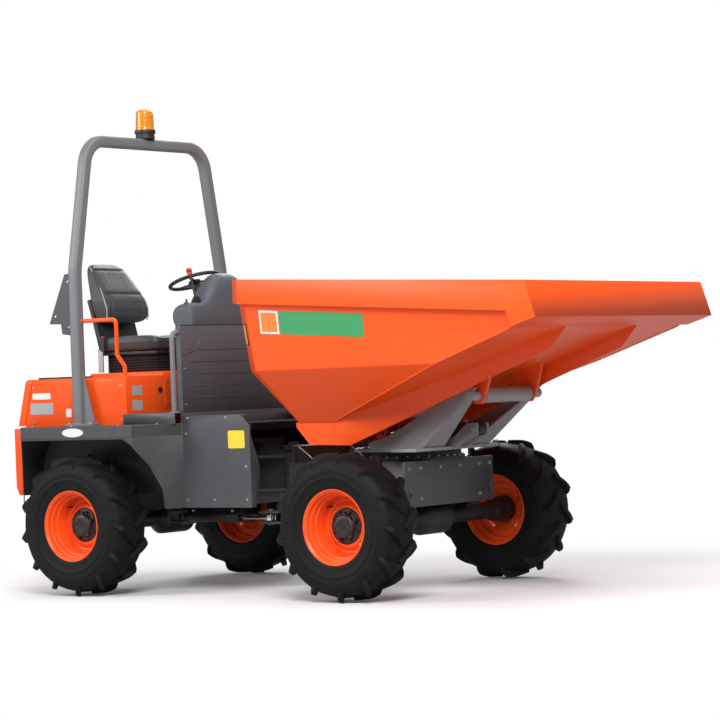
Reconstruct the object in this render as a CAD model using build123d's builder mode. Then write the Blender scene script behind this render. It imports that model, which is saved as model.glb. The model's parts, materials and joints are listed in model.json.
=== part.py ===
from build123d import *
import os
from math import cos, sin, tan, radians

os.makedirs("parts", exist_ok=True)

# Site dumper: articulated, four equal wheels, seat over the rear engine, and a
# front skip that swivels on a turntable and tips over its own front hinge.
# Millimetres. +X is forward, +Y is the driver's left, Z = 0 is the ground.

# ---------------------------------------------------------------- driving sizes
WHEELBASE = 1970
TRACK = 1620              # between the tyre centres of one axle
TYRE_R = 422.5            # over the lugs
TYRE_W = 290
RIM_R = 214               # over the rim flanges
RIM_W = 245
BEAD_R = 204              # where the tyre sits on the rim
LUG_H = 24
LUG_T = 34
LUGS_PER_SIDE = 13

REAR_REACH = 1680         # articulation pivot to the back of the rear guard
SWIVEL_SET = 105          # turntable centre behind the front axle
SKIP_REACH = 1496         # turntable centre to the pouring lip
PIVOT_X = (REAR_REACH - (WHEELBASE / 2 - SWIVEL_SET + SKIP_REACH)) / 2
FRONT_AXLE_X = PIVOT_X + WHEELBASE / 2
REAR_AXLE_X = PIVOT_X - WHEELBASE / 2
AXLE_Z = TYRE_R

SWIVEL_X = FRONT_AXLE_X - SWIVEL_SET
HINGE_X = SWIVEL_X + 660           # tipping hinge
HINGE_Z = 1125

PLATE = 8                 # skip and chassis plate
SHEET = 5                 # covers and side panels
PIN_FIT = 0.4             # radial play of a pin in its boss
SIDE_FIT = 6              # play beside an eye or a lug

# skip: stations from SKIP_X, heights from the ground
SKIP_X = SWIVEL_X - 880
SKIP_HALF_W = 950         # over the rim band
WALL_HALF_W = 940         # plate sides at the top of the loft
LOFT_TOP_Z = 1850
RIM_Z = 1853              # rim height above SKIP_X
RIM_SLOPE = 2.95          # degrees, the rim falls to the front
BAND_Z = 1718             # lower edge of the band above SKIP_X
BAND_SLOPE = 3.7

# rear body
FLOOR_Z = 1080            # footwell floor
PANEL_Z = 1060            # top of the side panels
PANEL_LOW_Z = 515
BODY_Z = 1310             # top of the engine housing
BODY_HALF_W = 655         # between the hoop legs
FENDER_HALF_W = 925
FENDER_Z = 1018
PANEL_HALF_W = 625
BULKHEAD_X = PIVOT_X - 365
PANEL_FRONT_X = PIVOT_X + 165
BOX_FRONT_X = PIVOT_X - 750
BODY_REAR_X = PIVOT_X - 1650       # foot of the rear face
HATCH_LEAN = 78                    # the rear face leans in this much at its top
HATCH_D = 60                       # depth of the rear hatch, measured along X
HATCH_GAP = 6
SEAT_Z = 1335             # top of the seat box under the seat
VENT_X, VENT_Y = PIVOT_X - 1400, 480

# roll-over hoop
HOOP_X = PIVOT_X - 1090
HOOP_TUBE = 70
HOOP_HALF_W = BODY_HALF_W + 45
HOOP_TOP_Z = 2800
HOOP_KNEE_Z = 1960
HOOP_LEAN = 10.5

# chassis
RAIL_HALF_W = 340
FRAME_LOW_Z = 500
FRAME_Z = 745             # top of both chassis boxes
KNUCKLE_R = 60
KING_PIN_R = 32
RING_R = 310
RING_Z = 815              # top of the slewing ring
SWIVEL_HALF_W = 345       # over the side plates of the swivel frame


def save(piece, name):
    """Label a finished piece and write it to its own STEP file."""
    piece.part.label = name
    export_step(piece.part, f"parts/{name}.step")


def outline(plane, *points):
    """A closed polygon on a plane."""
    with BuildSketch(plane) as face:
        with BuildLine():
            Polyline(*points, close=True)
        make_face()
    return face.sketch


def slab(y0, y1, *points):
    """A plate between two stations across the machine, its outline given in x and z."""
    with BuildPart() as plate:
        extrude(outline(Plane.XZ.offset(-y0), *points), amount=y0 - y1)
    return plate.part


def sheet(z0, z1, *points):
    """A level plate between two heights, its outline given in x and y."""
    with BuildPart() as plate:
        extrude(outline(Plane.XY.offset(z0), *points), amount=z1 - z0)
    return plate.part


def tube(points, radius, bend):
    """A round tube along straight runs joined by bends of one radius."""
    with BuildPart() as run:
        with BuildLine() as path:
            FilletPolyline(*points, radius=bend)
        with BuildSketch(Plane(origin=path.line @ 0, z_dir=path.line % 0)):
            Circle(radius)
        sweep()
    return run.part


def rod_between(start, end, radius):
    """A round bar from one point to another."""
    with BuildPart() as bar:
        with BuildLine() as path:
            Line(start, end)
        with BuildSketch(Plane(origin=start, z_dir=path.line % 0)):
            Circle(radius)
        sweep()
    return bar.part


# ---------------------------------------------------------------- wheels
CROWN_R = TYRE_R - LUG_H
SHOULDER_Y = TYRE_W / 2 - 20
DISC_Y = -10              # outer face of the wheel disc, from the tyre's middle
HUB_R = 78
WHEELS = [  # name, axle station, side
    ("front_left", FRONT_AXLE_X, 1),
    ("front_right", FRONT_AXLE_X, -1),
    ("rear_left", REAR_AXLE_X, 1),
    ("rear_right", REAR_AXLE_X, -1),
]

with BuildPart() as tyre:
    with BuildSketch(Plane.YZ):
        with BuildLine():
            bead_y = RIM_W / 2 - 16
            Line((-bead_y, BEAD_R), (bead_y, BEAD_R))
            Line((bead_y, BEAD_R), (bead_y + 14, RIM_R + 6))
            ThreePointArc((bead_y + 14, RIM_R + 6), (TYRE_W / 2 - 4, 300), (SHOULDER_Y, CROWN_R - 26))
            ThreePointArc((SHOULDER_Y, CROWN_R - 26), (0, CROWN_R), (-SHOULDER_Y, CROWN_R - 26))
            ThreePointArc((-SHOULDER_Y, CROWN_R - 26), (4 - TYRE_W / 2, 300), (-bead_y - 14, RIM_R + 6))
            Line((-bead_y - 14, RIM_R + 6), (-bead_y, BEAD_R))
        make_face()
    revolve(axis=Axis.Y)
    # chevron lugs: each runs from the middle of the tread back to the shoulder
    for hand in (1, -1):
        for turn in range(LUGS_PER_SIDE):
            angle = radians((turn + 0.25 * (1 + hand)) * 360 / LUGS_PER_SIDE)
            radial = Vector(sin(angle), 0, cos(angle))
            tangent = Vector(cos(angle), 0, -sin(angle))
            along = tangent * 0.66 + Vector(0, hand * 0.75, 0)
            lug_plane = Plane(origin=tangent * -62 + Vector(0, hand * 4, 0), x_dir=along, z_dir=along.cross(radial))
            profile = outline(lug_plane, (0, CROWN_R - 30), (0, TYRE_R - 6), (84, TYRE_R - 0.5), (146, TYRE_R - 9),
                              (170, TYRE_R - 44), (172, TYRE_R - 78), (140, TYRE_R - 70))
            extrude(profile, amount=LUG_T / 2, both=True)

with BuildPart() as rim:
    with BuildSketch(Plane.YZ):
        with BuildLine():
            lip = RIM_W / 2
            Polyline((lip, RIM_R), (lip - 7, RIM_R), (lip - 16, BEAD_R), (60, BEAD_R), (48, 178), (-48, 178),
                     (-60, BEAD_R), (16 - lip, BEAD_R), (7 - lip, RIM_R), (-lip, RIM_R), (-lip + 10, BEAD_R - 10),
                     (-66, BEAD_R - 10), (-54, 170), (54, 170), (66, BEAD_R - 10), (lip - 10, BEAD_R - 10),
                     close=True)
        make_face()
    revolve(axis=Axis.Y)
    with BuildSketch(Plane.YZ):
        with BuildLine():
            Polyline((DISC_Y, HUB_R), (DISC_Y, 112), (DISC_Y - 22, 140), (DISC_Y - 22, 173), (DISC_Y - 34, 173),
                     (DISC_Y - 34, 136), (DISC_Y - 12, 108), (DISC_Y - 12, HUB_R), close=True)
        make_face()
    revolve(axis=Axis.Y)
    # vent slots through the dished part of the disc
    slots = Plane(origin=(0, DISC_Y, 0), x_dir=(1, 0, 0), z_dir=(0, 1, 0))
    with BuildSketch(slots):
        with PolarLocations(127, 4):
            SlotOverall(30, 11, rotation=90)
    extrude(amount=-60, mode=Mode.SUBTRACT)

with BuildPart() as hub:
    with BuildSketch(Plane.YZ):
        with BuildLine():
            Polyline((-95, 0), (-95, 70), (DISC_Y - 60, 70), (DISC_Y - 60, HUB_R), (DISC_Y, HUB_R), (DISC_Y, 104),
                     (DISC_Y + 8, 104), (DISC_Y + 16, 94), (DISC_Y + 16, 72), (DISC_Y + 40, 66),
                     (DISC_Y + 48, 54), (DISC_Y + 48, 0), close=True)
        make_face()
    revolve(axis=Axis.Y)
    with BuildSketch(Plane(origin=(0, DISC_Y + 10, 0), x_dir=(1, 0, 0), z_dir=(0, 1, 0))):
        with PolarLocations(70, 5):
            Circle(14)
    extrude(amount=28)

for wheel, axle_x, side in WHEELS:
    place = Pos(axle_x, side * TRACK / 2, AXLE_Z) * (Location() if side > 0 else Rot(0, 0, 180))
    for kind, shape in (("tyre", tyre), ("rim", rim), ("hub", hub)):
        with BuildPart() as placed:
            add(place * shape.part)
        save(placed, f"{kind}_{wheel}")

# ---------------------------------------------------------------- axles
HUB_FACE = TRACK / 2 - 95          # inner end of the rotating hub
RAIL_Y = 294                       # middle of a rear chassis rail
FRONT_RAIL_Y = 334
for axle, axle_x in (("front_axle", FRONT_AXLE_X), ("rear_axle", REAR_AXLE_X)):
    with BuildPart() as beam:
        with BuildSketch(Plane.YZ.offset(axle_x)):
            with BuildLine():
                Polyline((-HUB_FACE, AXLE_Z), (-HUB_FACE, AXLE_Z + 66), (-HUB_FACE + 60, AXLE_Z + 66),
                         (-HUB_FACE + 95, AXLE_Z + 50), (-165, AXLE_Z + 50), (-110, AXLE_Z + 100),
                         (110, AXLE_Z + 100), (165, AXLE_Z + 50), (HUB_FACE - 95, AXLE_Z + 50),
                         (HUB_FACE - 60, AXLE_Z + 66), (HUB_FACE, AXLE_Z + 66), (HUB_FACE, AXLE_Z), close=True)
            make_face()
        revolve(axis=Axis((axle_x, 0, AXLE_Z), (0, 1, 0)))
        for side in (1, -1):
            with Locations((axle_x, side * (RAIL_Y if axle_x < PIVOT_X else FRONT_RAIL_Y), AXLE_Z + 51)):
                Box(120, 60, 18)
        inward = 1 if axle_x < PIVOT_X else -1
        with BuildSketch(Plane(origin=(axle_x, 0, AXLE_Z), x_dir=(0, 1, 0), z_dir=(inward, 0, 0))):
            Circle(62)
        extrude(amount=190, taper=6)
    save(beam, axle)

# ---------------------------------------------------------------- rear chassis
KNUCKLE_LOW_Z = 562
KNUCKLE_HIGH_Z = 820                # the skip's toe swings over the upper lug at 867
REAR_FRAME_X = PIVOT_X - 1530
NECK_X = PIVOT_X - 330             # where the rear frame narrows to the knuckle
AXLE_PAD_Z = AXLE_Z + 60
ENGINE_LOW_Z = 600
BEARER_LOW_Z = 950
STEER_ANCHOR = (PIVOT_X - 660, -272)       # barrel pin, rear frame
STEER_EYE = (PIVOT_X + 60, -320)           # rod pin, front frame
STEER_Z = 440
with BuildPart() as rear_chassis:
    for side in (1, -1):
        # side rail, arched over the axle tube
        add(slab(side * 288, side * 300, (REAR_FRAME_X, 560), (REAR_AXLE_X - 210, 545),
                 (REAR_AXLE_X - 150, AXLE_PAD_Z), (REAR_AXLE_X + 150, AXLE_PAD_Z), (REAR_AXLE_X + 210, FRAME_LOW_Z),
                 (NECK_X, FRAME_LOW_Z), (NECK_X, 900), (BOX_FRONT_X, 900), (BOX_FRONT_X, FRAME_Z),
                 (REAR_FRAME_X, FRAME_Z)))
        # body bearers that carry the fenders and the hoop
        for bearer_x in (HOOP_X, BOX_FRONT_X - 20):
            with Locations((bearer_x, side * 514, (BEARER_LOW_Z + FENDER_Z - SHEET) / 2)):
                Box(70, 452, FENDER_Z - SHEET - BEARER_LOW_Z)
            with Locations((bearer_x, side * 294, (FRAME_Z + BEARER_LOW_Z) / 2)):
                Box(60, 12, BEARER_LOW_Z - FRAME_Z + 4)
    for mount_x in (PIVOT_X - 1380, PIVOT_X - 860):
        with Locations((mount_x, 0, ENGINE_LOW_Z - 10)):
            Box(80, 580, 20)
    with Locations((NECK_X + 6, 0, 700)):
        Box(12, 640, 400)
    with Locations((REAR_FRAME_X + 5, 0, 655)):
        Box(10, 1280, 180)
    # knuckle: a boss for the king pin on webs that taper to it
    with Locations((PIVOT_X, 0, (KNUCKLE_LOW_Z + KNUCKLE_HIGH_Z) / 2)):
        Cylinder(KNUCKLE_R, KNUCKLE_HIGH_Z - KNUCKLE_LOW_Z)
    for web_z in (KNUCKLE_LOW_Z + 20, KNUCKLE_HIGH_Z - 36):
        add(sheet(web_z, web_z + 16, (NECK_X + 6, -200), (PIVOT_X, -52), (PIVOT_X, 52), (NECK_X + 6, 200)))
    add(slab(-8, 8, (NECK_X + 6, 540), (PIVOT_X - 40, KNUCKLE_LOW_Z + 10), (PIVOT_X - 40, KNUCKLE_HIGH_Z - 10),
             (NECK_X + 6, 890)))
    with Locations((PIVOT_X, 0, (KNUCKLE_LOW_Z + KNUCKLE_HIGH_Z) / 2)):
        Cylinder(KING_PIN_R, KNUCKLE_HIGH_Z - KNUCKLE_LOW_Z, mode=Mode.SUBTRACT)
    # clevis and pin for the barrel eye of the steering cylinder
    anchor_x, anchor_y = STEER_ANCHOR
    for plate_z in (STEER_Z + 26, STEER_Z - 38):
        add(sheet(plate_z, plate_z + 12, (anchor_x - 90, anchor_y + 60), (anchor_x - 90, anchor_y - 40),
                  (anchor_x + 20, anchor_y - 30), (anchor_x + 20, anchor_y + 30)))
    with Locations((anchor_x - 80, anchor_y + 10, STEER_Z + 18)):
        Box(20, 100, 112)
    with Locations((anchor_x, anchor_y, STEER_Z)):
        Cylinder(13, 90)
save(rear_chassis, "rear_chassis")

# ---------------------------------------------------------------- front chassis
FRONT_PLATE_X = PIVOT_X + 1130
FRONT_BACK_X = PIVOT_X + 230
TIE_Y, TIE_Z, TIE_R = 400, 560, 17          # tie-down holes in the front plate
TOWER_LOW_Z, TOWER_TOP_Z = 515, 856
with BuildPart() as front_chassis:
    for side in (1, -1):
        add(slab(side * 328, side * RAIL_HALF_W, (FRONT_BACK_X, FRAME_LOW_Z + 20), (FRONT_AXLE_X - 170, FRAME_LOW_Z),
                 (FRONT_AXLE_X - 130, AXLE_PAD_Z), (FRONT_AXLE_X + 130, AXLE_PAD_Z), (FRONT_PLATE_X, FRAME_LOW_Z),
                 (FRONT_PLATE_X, FRAME_Z), (FRONT_BACK_X, FRAME_Z)))
        add(slab(side * 240, side * 252, (FRONT_BACK_X, TOWER_TOP_Z), (FRONT_BACK_X, FRAME_Z + 16),
                 (FRONT_BACK_X + 130, FRAME_Z + 16)))
    # top plate, back tower and front plate with two tie-down holes
    with Locations(((FRONT_BACK_X + FRONT_PLATE_X) / 2, 0, FRAME_Z + 8)):
        Box(FRONT_PLATE_X - FRONT_BACK_X, 2 * RAIL_HALF_W, 16)
    with Locations((FRONT_BACK_X - 7, 0, (TOWER_TOP_Z + TOWER_LOW_Z) / 2)):
        Box(14, 2 * RAIL_HALF_W - 100, TOWER_TOP_Z - TOWER_LOW_Z)
    with BuildSketch(Plane.YZ.offset(FRONT_PLATE_X)):
        with Locations((0, (FRAME_LOW_Z + FRAME_Z) / 2 + 8)):
            Rectangle(900, FRAME_Z - FRAME_LOW_Z + 16)
        with Locations((TIE_Y, TIE_Z), (-TIE_Y, TIE_Z)):
            Circle(TIE_R, mode=Mode.SUBTRACT)
    extrude(amount=14)
    # two lugs that hold the king pin above and below the rear knuckle
    for lug_z in (KNUCKLE_LOW_Z - SIDE_FIT - 30, KNUCKLE_HIGH_Z + SIDE_FIT):
        with Locations((PIVOT_X, 0, lug_z + 15)):
            Cylinder(KNUCKLE_R, 30)
        add(sheet(lug_z, lug_z + 30, (PIVOT_X, -KNUCKLE_R), (FRONT_BACK_X, -170), (FRONT_BACK_X, 170),
                  (PIVOT_X, KNUCKLE_R)))
    with Locations((PIVOT_X, 0, (KNUCKLE_LOW_Z + KNUCKLE_HIGH_Z) / 2)):
        Cylinder(KING_PIN_R - PIN_FIT, KNUCKLE_HIGH_Z - KNUCKLE_LOW_Z + 110)
    # arm that the steering cylinder pushes: two plates with the rod eye between them
    eye_x, eye_y = STEER_EYE
    for plate_z in (STEER_Z + 26, STEER_Z - 38):
        add(sheet(plate_z, plate_z + 12, (eye_x - 55, eye_y - 45), (eye_x + 60, eye_y - 45),
                  (FRONT_BACK_X + 60, 20 - RAIL_HALF_W), (FRONT_BACK_X + 60, -200), (FRONT_BACK_X, -200),
                  (eye_x - 55, eye_y + 45)))
    with Locations((FRONT_BACK_X + 20, -250, STEER_Z + 45)):
        Box(60, 100, 166)
    for pin_z in (STEER_Z + 42, STEER_Z - 42):
        with Locations((eye_x, eye_y, pin_z)):
            Cylinder(18, 12)
save(front_chassis, "front_chassis")

# slewing ring: outer race with a flange that is bolted to the top plate
with BuildPart() as slewing_ring:
    with BuildSketch(Plane.XY.offset(FRAME_Z + 16)):
        with Locations((SWIVEL_X, 0)):
            Circle(RING_R)
            Circle(RING_R - 70, mode=Mode.SUBTRACT)
    extrude(amount=20)
    with BuildSketch(Plane.XY.offset(FRAME_Z + 36)):
        with Locations((SWIVEL_X, 0)):
            Circle(RING_R - 22)
            Circle(RING_R - 70, mode=Mode.SUBTRACT)
    extrude(amount=RING_Z - FRAME_Z - 36)
save(slewing_ring, "slewing_ring")

# ---------------------------------------------------------------- swivel frame
BASE_TOP_Z = RING_Z + 20
RAM_BASE = (SWIVEL_X + 470, 930)           # barrel pin, x and z
RAM_EYE = (SWIVEL_X - 180, 920)            # rod pin on the skip, x and z
RAM_GAP = 46                               # half the clear width between the ram's lugs
BASE_HALF_W = 430                          # front edge of the base plate
HINGE_TUBE_R = 45
HINGE_PIN_R = 28
FLANGE_FOOT = Vector(SWIVEL_X + 300, 0, BASE_TOP_Z)
FLANGE_TOP = Vector(HINGE_X + 40, 0, HINGE_Z + 44)
with BuildPart() as swivel_frame:
    with BuildSketch(Plane.XY.offset(RING_Z + 1)):
        with Locations((SWIVEL_X, 0)):
            Circle(RING_R + 25)
        with Locations((SWIVEL_X + 165, 0)):
            Rectangle(330, 2 * SWIVEL_HALF_W)
        with Locations((SWIVEL_X + 245, 0)):
            Rectangle(170, 2 * BASE_HALF_W)
    extrude(amount=BASE_TOP_Z - RING_Z - 1)
    slope = FLANGE_TOP - FLANGE_FOOT
    for side in (1, -1):
        add(slab(side * (SWIVEL_HALF_W - 12), side * SWIVEL_HALF_W, (SWIVEL_X - 60, BASE_TOP_Z),
                 (SWIVEL_X + 300, BASE_TOP_Z), (HINGE_X + 40, HINGE_Z + 44), (HINGE_X - 20, HINGE_Z + 50),
                 (SWIVEL_X + 60, 900), (SWIVEL_X - 60, 870)))
        # front flange folded inward along the sloping edge, wide at the foot
        front_edge = Plane(origin=FLANGE_FOOT + Vector(0, side * SWIVEL_HALF_W, 0), x_dir=slope,
                           z_dir=slope.cross(Vector(0, 1, 0)))
        flange = outline(front_edge, (0, 0), (0, -side * 225), (slope.length - 80, -side * 60),
                         (slope.length - 80, 0))
        extrude(flange, amount=-10)
    with Locations((HINGE_X, 0, HINGE_Z)):
        Cylinder(HINGE_TUBE_R, 2 * 235, rotation=(90, 0, 0))
        Cylinder(HINGE_PIN_R, 2 * SWIVEL_HALF_W + 20, rotation=(90, 0, 0))
    # clevis and pin for the barrel eye of the tipping ram
    base_x, base_z = RAM_BASE
    for side in (1, -1):
        add(slab(side * RAM_GAP, side * (RAM_GAP + 14), (SWIVEL_X + 260, BASE_TOP_Z - 10),
                 (SWIVEL_X + 330, BASE_TOP_Z - 19), (base_x + 35, base_z - 30), (base_x + 35, base_z + 35),
                 (base_x - 35, base_z + 35)))
    with Locations((base_x, 0, base_z)):
        Cylinder(16, 2 * (RAM_GAP + 24), rotation=(90, 0, 0))
save(swivel_frame, "swivel_frame")

# ---------------------------------------------------------------- skip
SECTIONS = [  # height, rear, front, half width, rear corner cut
    (1000, 507, 758, 600, 14),
    (1310, 256, 1670, 880, 180),
    (1490, 240, 2200, 900, 180),
    (LOFT_TOP_Z, 208, 2330, WALL_HALF_W, 180),
]


def skip_loft(inset):
    """The skip's outer form, or its hollow when every face is set in by the plate."""
    faces = []
    for level, rear, front, half, corner in SECTIONS:
        base = level + (inset if level == SECTIONS[0][0] else 0)
        r, f, h = SKIP_X + rear + inset, SKIP_X + front - 1.2 * inset, half - inset
        faces.append(outline(Plane.XY.offset(base), (r, -(h - corner)), (r + corner, -h), (f, -h), (f, h),
                             (r + corner, h), (r, h - corner)))
    with BuildPart() as form:
        loft(sections=faces, ruled=True)
    return form.part


def falling_plane(height, slope):
    """A plane across the machine that falls to the front by an angle in degrees."""
    fall = radians(slope)
    return Plane(origin=(SKIP_X, 0, height), x_dir=(cos(fall), 0, -sin(fall)), z_dir=(sin(fall), 0, cos(fall)))


# rim band: a folded strip round the sides and back
with BuildPart() as rim_band:
    add(sheet(1560, LOFT_TOP_Z, (SKIP_X + 190, 185 - SKIP_HALF_W), (SKIP_X + 375, -SKIP_HALF_W),
              (SKIP_X + 2250, -SKIP_HALF_W), (SKIP_X + 2250, SKIP_HALF_W), (SKIP_X + 375, SKIP_HALF_W),
              (SKIP_X + 190, SKIP_HALF_W - 185)))
    split(bisect_by=falling_plane(BAND_Z, BAND_SLOPE), keep=Keep.TOP)

# support cheeks under the chute, wide at the back and narrow at the hinge
with BuildPart() as skip_cheeks:
    for side in (1, -1):
        add(sheet(840, 1540, (SKIP_X + 495, side * 598), (SKIP_X + 860, side * 598), (SKIP_X + 1540, side * 385),
                  (SKIP_X + 2240, side * 385), (SKIP_X + 2240, side * 373), (SKIP_X + 1536, side * 373),
                  (SKIP_X + 856, side * 586), (SKIP_X + 495, side * 586)))
    add(slab(-1000, 1000, (SKIP_X + 494, 1004), (SKIP_X + 494, 976), (SKIP_X + 586, 875), (SKIP_X + 871, 867),
             (SKIP_X + 1590, 1183), (SKIP_X + 2106, 1372), (SKIP_X + 2212, 1495), (SKIP_X + 758, 1004)),
        mode=Mode.INTERSECT)

with BuildPart() as skip:
    add(skip_loft(0))
    add(rim_band.part)
    # pouring lip: a box fold across the whole front
    add(slab(-SKIP_HALF_W, SKIP_HALF_W, (SKIP_X + 2190, 1574), (SKIP_X + 2215, 1489), (SWIVEL_X + SKIP_REACH, 1538),
             (SKIP_X + 2303, 1755), (SKIP_X + 2190, 1760)))
    add(skip_cheeks.part)
    # folded toe plate across the back of the cheeks
    add(slab(-598, 598, (SKIP_X + 494, 1004), (SKIP_X + 494, 976), (SKIP_X + 586, 875), (SKIP_X + 610, 873),
             (SKIP_X + 610, 881), (SKIP_X + 590, 883), (SKIP_X + 504, 979), (SKIP_X + 504, 1004)))
    for side in (1, -1):
        # hinge lug, then the ram lug with a stub pin on its outer face
        add(slab(side * 250, side * 270, (HINGE_X - 110, 1235), (HINGE_X - 46, HINGE_Z - 14),
                 (HINGE_X - 20, HINGE_Z - 48), (HINGE_X + 20, HINGE_Z - 48), (HINGE_X + 46, HINGE_Z - 14),
                 (HINGE_X + 110, 1310)))
        add(slab(side * RAM_GAP, side * (RAM_GAP + 14), (RAM_EYE[0] - 60, 1004), (RAM_EYE[0] - 30, RAM_EYE[1] - 35),
                 (RAM_EYE[0] + 30, RAM_EYE[1] - 35), (RAM_EYE[0] + 60, 1008)))
        with Locations((RAM_EYE[0], side * (RAM_GAP + 18), RAM_EYE[1])):
            Cylinder(20, 12, rotation=(90, 0, 0))
    add(skip_loft(PLATE), mode=Mode.SUBTRACT)
    split(bisect_by=falling_plane(RIM_Z, RIM_SLOPE), keep=Keep.BOTTOM)
    with Locations((HINGE_X, 0, HINGE_Z)):
        Cylinder(HINGE_PIN_R + PIN_FIT, 600, rotation=(90, 0, 0), mode=Mode.SUBTRACT)
save(skip, "skip")

# reflectors on the rear corner faces, between the second loft section and the rim
corner_low, corner_high = (Vector(SKIP_X + rear + corner / 2, half - corner / 2, level)
                           for level, rear, _, half, corner in SECTIONS[2:])
rise = (corner_high - corner_low).normalized()
along = Vector(1, 1, 0)
with BuildPart() as skip_reflectors:
    with BuildSketch(Plane(origin=corner_low + rise * 30, x_dir=along, z_dir=rise.cross(along))):
        Rectangle(56, 110)
    extrude(amount=12)
    mirror(about=Plane.XZ)
save(skip_reflectors, "skip_reflectors")

# ---------------------------------------------------------------- cylinders
CYLINDERS = [  # name, barrel pin, rod pin, pin axis, barrel radius, rod radius, pin radius, eye width, barrel share,
              # inner end of the rod
    ("steer", Vector(*STEER_ANCHOR, STEER_Z), Vector(*STEER_EYE, STEER_Z), Vector(0, 0, 1), 32, 16, 13, 40, 0.66, 245),
    ("ram", Vector(RAM_BASE[0], 0, RAM_BASE[1]), Vector(RAM_EYE[0], 0, RAM_EYE[1]), Vector(0, 1, 0), 42, 22, 16,
     76, 0.82, 72),
]
BARREL_START = 48                  # from the pin to the shoulder of the barrel
for name, base, eye, pin_axis, barrel_r, rod_r, pin_r, eye_w, share, rod_start in CYLINDERS:
    line = (eye - base).normalized()
    length = (eye - base).length
    with BuildPart() as barrel:
        with BuildSketch(Plane(origin=base, z_dir=line)):
            Circle(eye_w / 2 - 4)
        extrude(amount=BARREL_START + 2)
        with BuildSketch(Plane(origin=base + line * BARREL_START, z_dir=line)):
            Circle(barrel_r)
        extrude(amount=length * share - BARREL_START)
        with BuildSketch(Plane(origin=base - pin_axis * eye_w / 2, z_dir=pin_axis)):
            Circle(barrel_r - 4)
        extrude(amount=eye_w)
        with BuildSketch(Plane(origin=base - pin_axis * eye_w / 2, z_dir=pin_axis)):
            Circle(pin_r + PIN_FIT)
        extrude(amount=eye_w, mode=Mode.SUBTRACT)
        with BuildSketch(Plane(origin=base + line * (BARREL_START + 10), z_dir=line)):
            Circle(rod_r + PIN_FIT)
        extrude(amount=length, mode=Mode.SUBTRACT)
    save(barrel, f"{name}_barrel")
    with BuildPart() as rod:
        with BuildSketch(Plane(origin=eye, z_dir=-line)):
            Circle(rod_r)
        extrude(amount=length - rod_start)
        with BuildSketch(Plane(origin=eye - pin_axis * eye_w / 2, z_dir=pin_axis)):
            Circle(30)
        extrude(amount=eye_w)
        with BuildSketch(Plane(origin=eye - pin_axis * eye_w / 2, z_dir=pin_axis)):
            Circle(16)
        extrude(amount=eye_w, mode=Mode.SUBTRACT)
    save(rod, f"{name}_rod")

# ---------------------------------------------------------------- engine and housing
with BuildPart() as engine:
    with Locations((PIVOT_X - 1130, 0, ENGINE_LOW_Z + 280)):
        Box(660, 480, 560)
save(engine, "engine")

HOUSING_LOW_Z = FENDER_Z
SHUT_TOP_X = BODY_REAR_X + HATCH_LEAN + HATCH_D
SHUT_FOOT_X = BODY_REAR_X + HATCH_D
ROOF_R = 26                        # rounding of the long top edges
HATCH_HINGES = (-250, 250)         # middles of the two hatch hinges, across the machine
KNUCKLE_PIN_R = 8
with BuildPart() as housing_void:
    low = HOUSING_LOW_Z - 10
    shut_low_x = SHUT_FOOT_X - 10 * HATCH_LEAN / (BODY_Z - HOUSING_LOW_Z)
    add(slab(SHEET - BODY_HALF_W, BODY_HALF_W - SHEET, (shut_low_x - 20, low), (BOX_FRONT_X - SHEET, low),
             (BOX_FRONT_X - SHEET, BODY_Z - SHEET), (SHUT_TOP_X - 20, BODY_Z - SHEET)))
    fillet(housing_void.edges().filter_by(Axis.X).group_by(Axis.Z)[-1], ROOF_R - SHEET)
with BuildPart() as housing:
    add(slab(-BODY_HALF_W, BODY_HALF_W, (SHUT_FOOT_X, HOUSING_LOW_Z), (BOX_FRONT_X, HOUSING_LOW_Z),
             (BOX_FRONT_X, BODY_Z), (SHUT_TOP_X, BODY_Z)))
    fillet(housing.edges().filter_by(Axis.X).group_by(Axis.Z)[-1], ROOF_R)
    add(housing_void.part, mode=Mode.SUBTRACT)
    # raised pan for the seat
    with Locations((PIVOT_X - 1075, 0, (BODY_Z + SEAT_Z) / 2)):
        Box(600, 560, SEAT_Z - BODY_Z)
    fillet(housing.faces().sort_by(Axis.Z)[-1].edges(), 12)
    with Locations((PIVOT_X - 1075, 0, SEAT_Z - 25 - SHEET)):
        Box(580, 540, 50, mode=Mode.SUBTRACT)
    # openings under the vent grilles
    with Locations((VENT_X, VENT_Y, BODY_Z), (VENT_X, -VENT_Y, BODY_Z)):
        Box(140, 260, 40, mode=Mode.SUBTRACT)
    # outer knuckles and leaves of the two hatch hinges
    for hinge_y in HATCH_HINGES:
        with Locations((SHUT_TOP_X, hinge_y, BODY_Z)):
            Cylinder(KNUCKLE_PIN_R + 3, 68, rotation=(90, 0, 0), mode=Mode.SUBTRACT)
        with Locations((SHUT_TOP_X, hinge_y - 22, BODY_Z), (SHUT_TOP_X, hinge_y + 22, BODY_Z)):
            Cylinder(KNUCKLE_PIN_R, 20, rotation=(90, 0, 0))
            with Locations((22, 0, 1)):
                Box(44, 20, 6)
save(housing, "housing")

with BuildPart() as vent_grilles:
    for side in (1, -1):
        with Locations((VENT_X, side * VENT_Y, BODY_Z + 5)):
            Box(180, 300, 10)
            Box(136, 256, 10, mode=Mode.SUBTRACT)
        with Locations((VENT_X, side * VENT_Y, BODY_Z + 5)):
            with GridLocations(0, 32, 1, 8):
                Box(150, 9, 7)
save(vent_grilles, "vent_grilles")

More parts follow.
